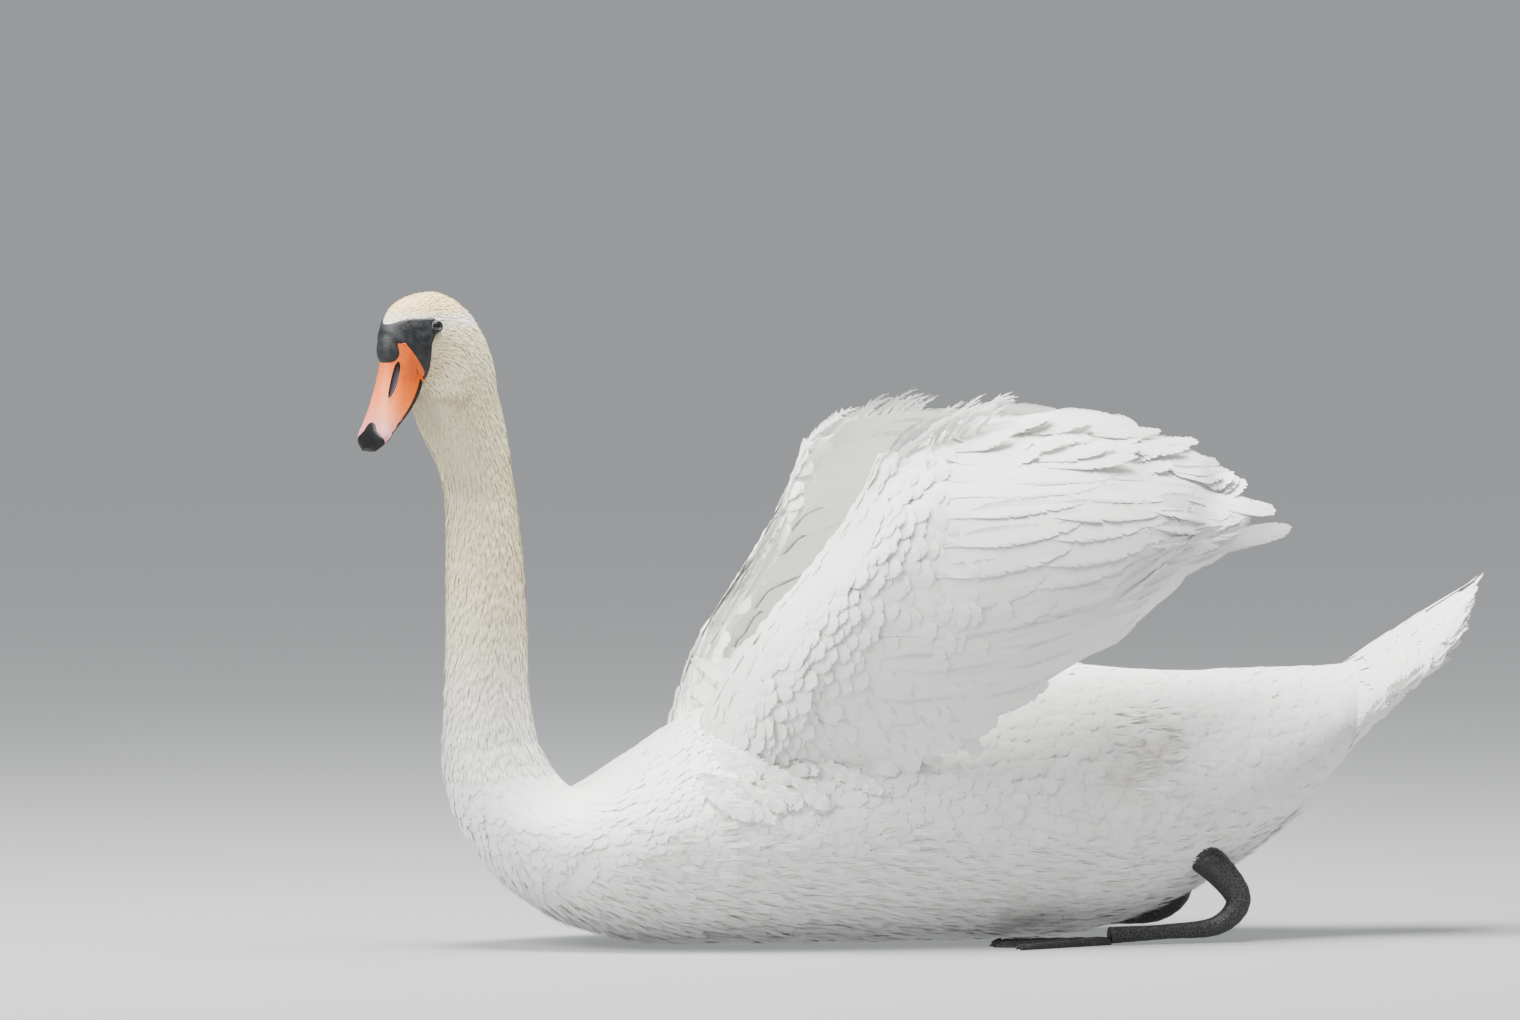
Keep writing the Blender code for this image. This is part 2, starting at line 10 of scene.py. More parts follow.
import bmesh
import bpy
import numpy as np
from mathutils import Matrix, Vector

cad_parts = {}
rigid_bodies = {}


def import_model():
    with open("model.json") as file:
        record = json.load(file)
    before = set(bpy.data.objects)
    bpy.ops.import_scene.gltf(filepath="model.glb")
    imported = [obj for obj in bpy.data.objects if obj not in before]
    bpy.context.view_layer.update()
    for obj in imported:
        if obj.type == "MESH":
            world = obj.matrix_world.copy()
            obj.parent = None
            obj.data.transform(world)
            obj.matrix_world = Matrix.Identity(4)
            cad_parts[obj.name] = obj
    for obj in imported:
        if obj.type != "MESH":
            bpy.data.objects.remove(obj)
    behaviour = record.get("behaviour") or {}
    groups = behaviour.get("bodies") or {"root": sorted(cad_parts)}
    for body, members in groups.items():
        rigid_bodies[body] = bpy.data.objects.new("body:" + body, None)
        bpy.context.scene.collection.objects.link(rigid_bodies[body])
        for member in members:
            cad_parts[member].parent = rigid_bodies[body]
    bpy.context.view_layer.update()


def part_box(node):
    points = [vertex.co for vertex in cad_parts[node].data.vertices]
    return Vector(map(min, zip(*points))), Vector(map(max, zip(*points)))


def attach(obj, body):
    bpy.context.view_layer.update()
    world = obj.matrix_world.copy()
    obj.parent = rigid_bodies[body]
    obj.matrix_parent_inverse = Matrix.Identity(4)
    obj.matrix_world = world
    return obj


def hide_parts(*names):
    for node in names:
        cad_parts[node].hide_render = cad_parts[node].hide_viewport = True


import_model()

# =============================================================== sizes shared with the solids
TRUNK = [  # (low x, low z), (high x, high z), half width, from neck root to vent
    ((-0.3854, 0.1710), (-0.3070, 0.1710), 0.0378),
    ((-0.3850, 0.1440), (-0.2945, 0.1480), 0.0440),
    ((-0.3770, 0.1120), (-0.2730, 0.1290), 0.0570),
    ((-0.3600, 0.0800), (-0.2480, 0.1360), 0.0750),
    ((-0.3320, 0.0480), (-0.2170, 0.1590), 0.0970),
    ((-0.2880, 0.0200), (-0.1760, 0.1870), 0.1200),
    ((-0.2280, 0.0030), (-0.1270, 0.2060), 0.1350),
    ((-0.1600, -0.003), (-0.0740, 0.2220), 0.1440),
    ((-0.0840, -0.005), (-0.0170, 0.2330), 0.1470),
    ((0.0000, -0.005), (0.0480, 0.2350), 0.1450),
    ((0.0800, -0.003), (0.1160, 0.2310), 0.1390),
    ((0.1500, 0.0050), (0.1760, 0.2250), 0.1290),
    ((0.2100, 0.0230), (0.2350, 0.2215), 0.1150),
    ((0.2680, 0.0520), (0.2930, 0.2225), 0.0980),
    ((0.3180, 0.0860), (0.3440, 0.2235), 0.0800),
    ((0.3560, 0.1250), (0.3800, 0.2250), 0.0640),
]
TRUNK_KEEL = 0.10
NECK = [  # height, centre x, half thickness fore and aft, half width
    (0.1713, -0.3462, 0.0392, 0.0378),
    (0.2090, -0.3483, 0.0354, 0.0346),
    (0.2480, -0.3485, 0.0341, 0.0335),
    (0.2815, -0.3490, 0.0335, 0.0331),
    (0.3180, -0.3503, 0.0323, 0.0321),
    (0.3500, -0.3522, 0.0307, 0.0306),
    (0.3827, -0.3556, 0.0292, 0.0291),
]
HEAD_TURN = math.radians(29.0)
HEAD_AXIS = np.array([-0.3556, 0.0, 0.0])
HEAD = [
    ((0.0292, 0.3830), (-0.0292, 0.3830), 0.0291),
    ((0.0430, 0.4040), (-0.0265, 0.4068), 0.0288),
    ((0.0560, 0.4230), (-0.0222, 0.4306), 0.0288),
    ((0.0635, 0.4380), (-0.0150, 0.4552), 0.0291),
    ((0.0680, 0.4480), (-0.0092, 0.4808), 0.0294),
    ((0.0703, 0.4522), (0.0033, 0.5058), 0.0290),
    ((0.0711, 0.4543), (0.0227, 0.5252), 0.0281),
    ((0.0719, 0.4560), (0.0463, 0.5353), 0.0266),
    ((0.0726, 0.4575), (0.0719, 0.5341), 0.0245),
    ((0.0733, 0.4588), (0.0921, 0.5250), 0.0213),
    ((0.0740, 0.4600), (0.1020, 0.5060), 0.0180),
]
HEAD_KEEL, CHEEK, CHEEK_START, CHEEK_RISE = 0.06, 0.5, 0.65, 0.6
EYE_FORWARD, EYE_SIDE, EYE_HEIGHT = 0.0656, 0.0224, 0.5080
BILL = [  # culmen point, edge point, half width, jaw depth
    ((0.1020, 0.5056), (0.0763, 0.4636), 0.0184, 0.0045),
    ((0.1018, 0.4880), (0.0804, 0.4538), 0.0182, 0.0048),
    ((0.1050, 0.4680), (0.0868, 0.4436), 0.0178, 0.0046),
    ((0.1100, 0.4490), (0.0966, 0.4333), 0.0178, 0.0042),
    ((0.1148, 0.4325), (0.1066, 0.4240), 0.0185, 0.0036),
    ((0.1180, 0.4215), (0.1134, 0.4168), 0.0184, 0.0028),
    ((0.1194, 0.4102), (0.1176, 0.4082), 0.0074, 0.0014),
]
BILL_PINCH, BILL_PINCH_SHARE = 0.35, 0.6
KNOB_CENTRE, KNOB_SIZE = (0.0938, 0.4945), (0.0110, 0.0125, 0.0165)
KNOB_LEAN = math.radians(14.0)
WING = [  # ribs from the leading edge to the tip; bottom, low, high and top points
    [(-0.205, 0.030, 0.130), (-0.159, 0.085, 0.236), (-0.088, 0.122, 0.333), (-0.047, 0.142, 0.410)],
    [(-0.166, 0.094, 0.124), (-0.124, 0.148, 0.232), (-0.056, 0.167, 0.342), (0.003, 0.126, 0.429)],
    [(-0.072, 0.130, 0.146), (-0.036, 0.178, 0.245), (0.014, 0.178, 0.350), (0.060, 0.105, 0.439)],
    [(0.0215, 0.158, 0.178), (0.048, 0.188, 0.262), (0.080, 0.175, 0.355), (0.1115, 0.093, 0.440)],
    [(0.0857, 0.165, 0.219), (0.108, 0.182, 0.283), (0.136, 0.160, 0.359), (0.164, 0.083, 0.431)],
    [(0.137, 0.155, 0.248), (0.157, 0.165, 0.300), (0.181, 0.142, 0.359), (0.205, 0.074, 0.415)],
    [(0.174, 0.140, 0.280), (0.194, 0.145, 0.319), (0.216, 0.122, 0.361), (0.2386, 0.070, 0.400)],
    [(0.214, 0.125, 0.307), (0.226, 0.125, 0.331), (0.240, 0.108, 0.355), (0.253, 0.077, 0.377)],
    [(0.2560, 0.112, 0.323), (0.262, 0.110, 0.338), (0.268, 0.103, 0.353), (0.272, 0.090, 0.367)],
    [(0.3060, 0.101, 0.337), (0.308, 0.099, 0.343), (0.306, 0.095, 0.351), (0.299, 0.090, 0.360)],
]
WING_CURL, WING_CURL_SHARE, WING_ROUND_SHARE = 0.012, 0.06, 0.045
WING_EDGE_THICK, WING_ROOT_THICK, WING_NOSE_THICK = 0.003, 0.022, 0.018
WING_VANE_THICK, WING_BODY_THICK = 0.0045, 0.010
ROOT_LEVELS, ROOT_COLUMNS, NOSE_COLUMNS, BODY_COLUMNS = 0.42, 0.40, 0.16, 0.80
TAIL = [  # like the trunk's, with the droop of the sides and the sweep of the rim
    ((0.3563, 0.1252), (0.3803, 0.2252), 0.0640, 0.0000, 0.0000),
    ((0.3840, 0.1630), (0.4010, 0.2370), 0.0670, 0.0060, 0.0000),
    ((0.4070, 0.1950), (0.4220, 0.2490), 0.0690, 0.0120, 0.0010),
    ((0.4310, 0.2240), (0.4440, 0.2625), 0.0680, 0.0180, 0.0030),
    ((0.4540, 0.2500), (0.4640, 0.2745), 0.0620, 0.0220, 0.0060),
    ((0.4740, 0.2725), (0.4800, 0.2840), 0.0490, 0.0220, 0.0080),
    ((0.4900, 0.2885), (0.4925, 0.2915), 0.0250, 0.0100, 0.0060),
]
LEG_PATH = [(0.1512, 0.103, 0.0080, 0.0070), (0.200, 0.098, 0.0100, 0.0062),
            (0.245, 0.092, 0.0140, 0.0080), (0.264, 0.089, 0.0340, 0.0105),
            (0.247, 0.086, 0.0600, 0.0130), (0.215, 0.082, 0.0860, 0.0160)]
FOOT_HEEL, FOOT_LENGTH = (0.158, 0.1035), 0.108
FOOT_SPREAD, FOOT_TOE_OUT = math.radians(24.0), math.radians(4.0)
TOE_HEIGHT, WEB_HEIGHT = 0.0068, 0.0022

# =============================================================== maths of the forms
LOOK = np.array([-math.cos(HEAD_TURN), -math.sin(HEAD_TURN), 0.0])
LEFT = np.array([-LOOK[1], LOOK[0], 0.0])
UP = np.array([0.0, 0.0, 1.0])


def head_place(forward, side, height):
    forward, side, height = np.broadcast_arrays(forward, side, height)
    return (HEAD_AXIS + LOOK * forward[..., None] + LEFT * side[..., None]
            + UP * height[..., None])


SHIFT = (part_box("eye_left")[0].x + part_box("eye_left")[1].x) / 2 - float(
    head_place(EYE_FORWARD, EYE_SIDE, EYE_HEIGHT)[0])


def smooth(low, high, value):
    """0 below low, 1 above high, an easy slope between."""
    t = np.clip((np.asarray(value, float) - low) / (high - low), 0.0, 1.0)
    return t * t * (3.0 - 2.0 * t)


def flat_rows(stations):
    return np.array([np.hstack([np.ravel(entry) for entry in station]) for station in stations])


def extended(rows, axis=0):
    """Rows with one more at each end, carried straight on."""
    rows = np.moveaxis(np.asarray(rows, float), axis, 0)
    rows = np.concatenate([[2 * rows[0] - rows[1]], rows, [2 * rows[-1] - rows[-2]]])
    return np.moveaxis(rows, 0, axis)


def spline_weights(t, count):
    """Weights of the extended rows for a smooth curve through count rows, t from 0 to 1."""
    place = np.clip(t, 0.0, 1.0) * (count - 1)
    i = np.minimum(place.astype(int), count - 2)
    f = place - i
    parts = (-f + 2 * f**2 - f**3, 2 - 5 * f**2 + 3 * f**3, f + 4 * f**2 - 3 * f**3, f**3 - f**2)
    weights = np.zeros(place.shape + (count + 2,))
    for k, part in enumerate(parts):
        np.put_along_axis(weights, (i + k)[..., None], 0.5 * part[..., None], -1)
    return weights


def through(rows, t):
    t = np.asarray(t, float)
    return spline_weights(t, len(rows)) @ extended(rows)


def unit(vectors):
    return vectors / np.maximum(np.linalg.norm(vectors, axis=-1, keepdims=True), 1e-12)


HEAD_ROWS, NECK_ROWS, TRUNK_ROWS = flat_rows(HEAD), np.array(NECK), flat_rows(TRUNK)
TAIL_ROWS, BILL_ROWS = flat_rows(TAIL), flat_rows(BILL)


def egg_slice(numbers, v, keel, depth, cheek=0.0):
    """Slice between a low and a high profile point: forward, side and height."""
    low, high, width = numbers[..., 0:2], numbers[..., 2:4], numbers[..., 4]
    up, out = np.cos(2 * np.pi * v), np.sin(2 * np.pi * v)
    square = cheek * np.clip(-up / CHEEK_RISE, 0.0, 1.0)
    out = np.sign(out) * np.abs(out) ** (1.0 - square)
    reach = (high - low) / 2
    stretch = 1.0 - depth / np.linalg.norm(reach, axis=-1)
    middle = (low + high) / 2 + reach * (up * stretch)[..., None]
    return middle[..., 0], (width - depth) * out * (1.0 - keel * up), middle[..., 1]


def form(u, v, depth):
    """Head, neck and trunk as the solids have them, end to end."""
    u, v, depth = (np.asarray(a, float) for a in np.broadcast_arrays(u, v, depth))
    s = 1.0 - u
    cheek = CHEEK * np.clip((s - CHEEK_START) / (1 - CHEEK_START), 0.0, 1.0)
    head = head_place(*egg_slice(through(HEAD_ROWS, s), v, HEAD_KEEL * smooth(0, 0.3, s), depth,
                                 cheek))
    height, x, deep, wide = np.moveaxis(through(NECK_ROWS, 2.0 - u), -1, 0)
    angle = HEAD_TURN * smooth(0, 1, 2.0 - u) - 2 * np.pi * v
    neck = np.stack([x + (deep - depth) * np.cos(angle), (wide - depth) * np.sin(angle), height], -1)
    s = u - 2.0
    forward, side, height = egg_slice(
        through(TRUNK_ROWS, s), v, TRUNK_KEEL * smooth(0, 0.15, s), depth)
    trunk = np.stack([forward, -side, np.maximum(height, depth)], -1)
    return np.where((u < 1)[..., None], head, np.where((u < 2)[..., None], neck, trunk))


THROAT_EASE, THROAT_REACH = 0.10, 0.20   # how far the corner under the throat is rounded


def body(u, v, depth=0.0):
    """The bird's one long form. u: 0-1 bill to neck, 1-2 down the neck, 2-3 along the trunk.
    v goes round from the back towards the bird's left."""
    u = np.asarray(u, float)
    ease = THROAT_EASE * smooth(THROAT_REACH, 0.0, np.abs(u - 1.0))
    return sum(form(u + ease * k, v, depth) for k in (-1.0, -0.5, 0.0, 0.5, 1.0)) / 5


def tail(s, v, depth=0.0):
    s, v, depth = (np.asarray(a, float) for a in np.broadcast_arrays(s, v, depth))
    numbers = through(TAIL_ROWS, s)
    depth = np.minimum(depth, 0.45 * np.linalg.norm(numbers[..., 2:4] - numbers[..., 0:2], axis=-1))
    forward, side, height = egg_slice(numbers, v, TRUNK_KEEL * (1 - s), depth)
    aside = (side / numbers[..., 4]) ** 2
    return np.stack([forward - numbers[..., 6] * aside, -side, height - numbers[..., 5] * aside], -1)


WING_NET = extended(extended(WING, 0), 1)


def wing(c, l, depth=0.0):
    """Outer face of the right wing, c from leading edge to tip, l from bottom to top."""
    c, l, depth = (np.asarray(a, float) for a in np.broadcast_arrays(c, l, depth))
    net = np.einsum("...i,ijk->...jk", spline_weights(c, len(WING)), WING_NET)
    point = np.einsum("...j,...jk->...k", spline_weights(l, len(WING[0])), net)
    point[..., 1] -= WING_CURL * np.maximum(0.0, 1.0 - c / WING_CURL_SHARE) ** 2
    if np.any(depth):
        point = point - wing_out(c, l) * depth[..., None]
    return point


def wing_out(c, l):
    step = 0.01
    behind = np.maximum(c, WING_CURL_SHARE)
    along = wing(np.minimum(behind + step, 1.0), l) - wing(behind - step, l)
    up = wing(c, np.minimum(l + step, 1.0)) - wing(c, np.maximum(l - step, 0.0))
    return unit(np.cross(up, along))


def wing_thick(c, l):
    root = np.maximum(0.0, 1.0 - l / ROOT_LEVELS) ** 1.5 * np.maximum(0.0, 1.0 - c / ROOT_COLUMNS)
    nose = np.maximum(0.0, 1.0 - c / NOSE_COLUMNS) * (1.0 - 0.75 * l)
    flesh = (1.0 - l) * np.maximum(0.0, 1.0 - c / BODY_COLUMNS)
    deep = WING_VANE_THICK + WING_BODY_THICK * flesh + WING_ROOT_THICK * root + WING_NOSE_THICK * nose
    inside = 1.0 - np.minimum(1.0, c / WING_ROUND_SHARE)
    return WING_EDGE_THICK + (deep - WING_EDGE_THICK) * np.sqrt(1.0 - inside ** 2)


def wing_inner(c, l, depth=0.0):
    """Inner face of the right wing; depth goes into the wing from there."""
    c, l, depth = (np.asarray(a, float) for a in np.broadcast_arrays(c, l, depth))
    return wing(c, l) - wing_out(c, l) * (wing_thick(c, l) - depth)[..., None]


def normals_of(surface, a, b):
    """Outward normals of a surface function by small steps."""
    step = 0.002
    da = surface(a + step, b) - surface(a - step, b)
    db = surface(a, b + step) - surface(a, b - step)
    return unit(np.cross(db, da))


def net(down, along):
    """Two grids of values, down the rows and along them, each from its start, end and count."""
    return np.meshgrid(np.linspace(*down), np.linspace(*along), indexing="ij")


# =============================================================== small tools for meshes
def in_scene(name, data):
    """A new object for some data, linked to the scene."""
    thing = bpy.data.objects.new(name, data)
    bpy.context.scene.collection.objects.link(thing)
    return thing


def new_piece(name, points, faces, material):
    """A mesh object in the scene, at the origin, its place in its mesh."""
    data = bpy.data.meshes.new(name)
    points = np.asarray(points, float).reshape(-1, 3) + (SHIFT, 0.0, 0.0)
    data.from_pydata(points.tolist(), [], [tuple(map(int, face)) for face in faces])
    data.materials.append(material)
    data.shade_smooth()
    return in_scene(name, data)


def grid_faces(rows, columns, closed=False):
    """Quads of a grid whose points are numbered row by row."""
    faces = []
    for i in range(rows - 1):
        for j in range(columns if closed else columns - 1):
            k = (j + 1) % columns
            faces.append((i * columns + j, i * columns + k, (i + 1) * columns + k,
                          (i + 1) * columns + j))
    return faces


def set_uv(data, name, per_point):
    """A UV map from one place for each point."""
    corners = np.zeros(len(data.loops), int)
    data.loops.foreach_get("vertex_index", corners)
    layer = data.uv_layers.new(name=name)
    layer.data.foreach_set("uv", per_point[corners].astype(np.float32).ravel())


def vane_places(points):
    """Places on a feather's own map: along it from 0 to 1, and across it with the shaft at 0.5."""
    return points[:, :2] * (1, 0.98) + (0, 0.5)


def paint(piece, layers):
    """Numbers for each point; the last one is repeated for the points that are left over."""
    for key, values in layers.items():
        full = np.concatenate([values, np.full(len(piece.data.vertices) - len(values), values[-1])])
        piece.data.attributes.new(key, "FLOAT", "POINT").data.foreach_set(
            "value", full.astype(np.float32))


def face_outwards(piece):
    mesh = bmesh.new()
    mesh.from_mesh(piece.data)
    bmesh.ops.recalc_face_normals(mesh, faces=mesh.faces)
    mesh.to_mesh(piece.data)
    mesh.free()
    return piece


def shell(name, outer, inner, material):
    """Closed shell between two equal grids of points."""
    rows, columns = outer.shape[:2]
    points = np.concatenate([outer.reshape(-1, 3), inner.reshape(-1, 3)])
    size = rows * columns
    faces = grid_faces(rows, columns)
    faces += [tuple(size + k for k in reversed(face)) for face in faces]
    rim = ([i * columns for i in range(rows)], [i * columns + columns - 1 for i in range(rows)],
           list(range(columns)), list(range(size - columns, size)))
    for turn, edge in zip((1, -1, -1, 1), rim):
        for a, b in zip(edge, edge[1:]):
            faces.append((a, b, b + size, a + size)[::turn])
    return face_outwards(new_piece(name, points, faces, material))


def tube(name, rings, material):
    """Closed tube through rings of points, a pole at each end."""
    rows, columns = rings.shape[:2]
    points = np.concatenate([rings.reshape(-1, 3), [rings[0].mean(0), rings[-1].mean(0)]])
    faces = grid_faces(rows, columns, closed=True)
    for k in range(columns):
        faces.append((k, (k + 1) % columns, rows * columns))
        faces.append(((rows - 1) * columns + k, (rows - 1) * columns + (k + 1) % columns,
                      rows * columns + 1))
    return face_outwards(new_piece(name, points, faces, material))


def into_one(name, *pieces):
    """Join pieces into the first, as one mesh."""
    mesh = bmesh.new()
    for piece in pieces:
        mesh.from_mesh(piece.data)
    mesh.to_mesh(pieces[0].data)
    mesh.free()
    for piece in pieces[1:]:
        bpy.data.objects.remove(piece, do_unlink=True)
    pieces[0].name = name
    return pieces[0]


def apply_modifiers(piece):
    seen = piece.evaluated_get(bpy.context.evaluated_depsgraph_get())
    data = bpy.data.meshes.new_from_object(seen)
    piece.modifiers.clear()
    piece.data = data
    return piece


# =============================================================== materials
def linear(hex_colour):
    """sRGB hex to linear red, green, blue, alpha."""
    parts = [int(hex_colour[k:k + 2], 16) / 255 for k in (1, 3, 5)]
    return (*((p / 12.92 if p <= 0.04045 else ((p + 0.055) / 1.055) ** 2.4) for p in parts), 1.0)


def feed(node, links):
    """For each input named, a value or the socket that feeds it."""
    for key, value in links.items():
        if isinstance(value, bpy.types.NodeSocket):
            node.id_data.links.new(value, node.inputs[key])
        else:
            node.inputs[key].default_value = value


def add(tree, kind, links, **settings):
    """One node with its links and its own settings; gives back its outputs."""
    node = tree.nodes.new(kind)
    for key, value in settings.items():
        setattr(node, key, value)
    feed(node, links)
    return node.outputs


def shader_of(name):
    material = bpy.data.materials.new(name)
    material.use_nodes = True
    return material, material.node_tree, material.node_tree.nodes["Principled BSDF"]


MATH, RANGE, MIX, BUMP = "ShaderNodeMath", "ShaderNodeMapRange", "ShaderNodeMix", "ShaderNodeBump"
NOISE, CELLS, PLACE = "ShaderNodeTexNoise", "ShaderNodeTexVoronoi", "ShaderNodeTexCoord"
SPLIT, JOIN, VECTOR = "ShaderNodeSeparateXYZ", "ShaderNodeCombineXYZ", "ShaderNodeVectorMath"
ATTRIBUTE = "ShaderNodeAttribute"
EASED = {"interpolation_type": "SMOOTHSTEP"}     # a range of 0 to 1 with soft ends
TIMES = {"operation": "MULTIPLY"}
BLEND = {"data_type": "RGBA"}
TINT = {"data_type": "RGBA", "blend_type": "MULTIPLY"}
PLAIN = (1.0, 1.0, 1.0, 1.0)

# body stain of the plumage: iron-rich water dyes the head and neck ivory
# VANE_EDGE_SHADOW is painted shade: a grey line along flight-feather vane edges for the shadow where
# vanes overlap
WHITE_BARB, WARM_SHADE, VANE_EDGE_SHADOW = "#f6f6f3", "#e9e5d8", "#a9abab"
NECK_IVORY, CROWN_BUFF, FLANK_STAIN = "#efe2b6", "#f5d998", "#bfa97c"
NECK_FRONT, NECK_EASE = -0.265, 0.045   # the neck and head stand in front of this
NECK_RISE = 0.12, 0.33                  # the ivory deepens over these heights
CROWN_RISE = 0.507, 0.527
BROW_RISE, BROW_FALL = (0.502, 0.513), (0.5225, 0.5150)     # a white band over the mask
STAIN_PLACE = 0.169, 0.158              # x and z of the rusty tufts by the thigh
STAIN_REACH = 0.055, 0.008


def plumage_colour(tree):
    """White, dyed ivory up the neck and buff on the crown, with rusty thigh tufts."""
    place = add(tree, PLACE, {})["Object"]
    x, _, z = add(tree, SPLIT, {0: place})
    blotch = add(tree, NOISE, {      # 40 mm clouds of stain
        "Vector": place, "Scale": 25.0, "Detail": 3.0, "Roughness": 0.6})["Fac"]
    forward = add(tree, RANGE, {0: x, 1: NECK_FRONT, 2: NECK_FRONT - NECK_EASE}, **EASED)[0]
    cloud = add(tree, RANGE, {0: blotch, 1: 0.2, 2: 0.7, 3: 0.72}, **EASED)[0]
    rise, crown, above, below = (add(tree, RANGE, {0: z, 1: low, 2: high}, **EASED)[0]
                                 for low, high in (NECK_RISE, CROWN_RISE, BROW_RISE, BROW_FALL))
    brow = add(tree, MATH, {0: above, 1: below}, **TIMES)[0]
    brow = add(tree, MATH, {0: brow, 1: 0.7}, **TIMES)[0]
    colour = linear(WHITE_BARB)
    for share, last, dye in ((rise, cloud, NECK_IVORY), (crown, cloud, CROWN_BUFF),
                             (brow, 1.0, WHITE_BARB)):
        share = add(tree, MATH, {0: forward, 1: share}, **TIMES)[0]
        share = add(tree, MATH, {0: share, 1: last}, **TIMES)[0]
        colour = add(tree, MIX, {0: share, 6: colour, 7: linear(dye)}, **BLEND)[2]
    thigh = add(tree, JOIN, {0: STAIN_PLACE[0] + SHIFT, 2: STAIN_PLACE[1]})[0]
    level = add(tree, JOIN, {0: x, 2: z})[0]
    far = add(tree, VECTOR, {0: level, 1: thigh}, operation="DISTANCE")["Value"]
    near = add(tree, RANGE, {0: far, 1: STAIN_REACH[0], 2: STAIN_REACH[1]}, **EASED)[0]
    patchy = add(tree, RANGE, {0: blotch, 1: 0.40, 2: 0.64, 4: 0.50}, **EASED)[0]
    rust = add(tree, MATH, {0: near, 1: patchy}, **TIMES)[0]
    return add(tree, MIX, {0: rust, 6: colour, 7: linear(FLANK_STAIN)}, **BLEND)[2], place


def feather_material(name, barb_width, gloss, rim=0.0):
    """Feather keratin, cleaned and preened: white and matt, barbs catching light across them."""
    material, tree, shader = shader_of(name)
    colour, _ = plumage_colour(tree)
    vane_map = add(tree, "ShaderNodeUVMap", {}, uv_map="vane")[0]
    drawn_out = add(tree, "ShaderNodeMapping", {
        "Vector": vane_map, "Scale": (3.0, 1.0 / barb_width, 1.0)})[0]
    barbs = add(tree, NOISE, {"Vector": drawn_out, "Scale": 1.0, "Detail": 2.0})["Fac"]
    tint = add(tree, ATTRIBUTE, {}, attribute_name="tint")["Fac"]
    streak = add(tree, RANGE, {0: barbs, 1: 0.35, 2: 0.75, 4: 0.55}, **EASED)[0]
    streak = add(tree, MATH, {0: streak, 1: tint}, **TIMES)[0]
    shade = add(tree, MIX, {0: streak, 6: PLAIN, 7: linear(WARM_SHADE)}, **BLEND)[2]
    across = add(tree, SPLIT, {0: vane_map})[1]
    aside = add(tree, MATH, {0: across, 1: 0.5}, operation="SUBTRACT")[0]
    aside = add(tree, MATH, {0: aside}, operation="ABSOLUTE")[0]
    # painted shade: rim greys the vane's edges, standing in for the shadow between overlapping feathers
    edge_shadow = add(tree, RANGE, {0: aside, 1: 0.34, 2: 0.49, 4: rim}, **EASED)[0]
    shade = add(tree, MIX, {0: edge_shadow, 6: shade, 7: linear(VANE_EDGE_SHADOW)}, **BLEND)[2]
    feed(shader, {
        "Base Color": add(tree, MIX, {0: 1.0, 6: colour, 7: shade}, **TINT)[2],
        "Normal": add(tree, BUMP, {"Height": barbs, "Strength": 0.35, "Distance": 0.0004})[0],
        "Roughness": gloss, "Specular IOR Level": 0.35, "IOR": 1.54})       # keratin
    return material


def skin_material():
    """Living skin under down: the same dye as the coat, soft and quite matt."""
    material, tree, shader = shader_of("skin under white down")
    colour, place = plumage_colour(tree)
    down = add(tree, NOISE, {"Vector": place, "Scale": 330.0, "Detail": 4.0})["Fac"]  # 3 mm apart
    tufted = add(tree, RANGE, {0: down, 1: 0.3, 2: 0.7, 4: 0.5}, **EASED)[0]
    shade = add(tree, MIX, {0: tufted, 6: PLAIN, 7: linear(WARM_SHADE)}, **BLEND)[2]
    feed(shader, {
        "Base Color": add(tree, MIX, {0: 1.0, 6: colour, 7: shade}, **TINT)[2],
        "Normal": add(tree, BUMP, {"Height": down, "Distance": 0.001})[0], "Roughness": 0.9})
    return material


def bare_skin_material(name, grain, dark, pale):
    """Bare facial skin: leathery and finely pebbled, with a low wet sheen on the grain."""
    material, tree, shader = shader_of(name)
    place = add(tree, PLACE, {})["Object"]
    pebble = add(tree, CELLS, {"Vector": place, "Scale": 1.0 / grain, "Smoothness": 0.4},
                 feature="SMOOTH_F1")["Distance"]
    cloud = add(tree, NOISE, {"Vector": place, "Scale": 160.0, "Detail": 4.0})["Fac"]   # 6 mm
    paler = add(tree, RANGE, {0: cloud, 1: 0.35, 2: 0.75}, **EASED)[0]
    feed(shader, {
        "Base Color": add(tree, MIX, {0: paler, 6: linear(dark), 7: linear(pale)}, **BLEND)[2],
        "Roughness": add(tree, RANGE, {0: cloud, 1: 0.3, 2: 0.7, 3: 0.42, 4: 0.62}, **EASED)[0],
        "Normal": add(tree, BUMP, {"Height": pebble, "Strength": 0.5, "Distance": 0.0004})[0]})
    return material


BILL_COLOURS = ((0.0, "#e65c00"), (0.30, "#f7731c"), (0.55, "#fb8348"), (0.75, "#ee8e70"),
                (0.95, "#cd8c90"))
BILL_BLACK, NOSTRIL_GREY = "#0d0d0e", "#4a444c"


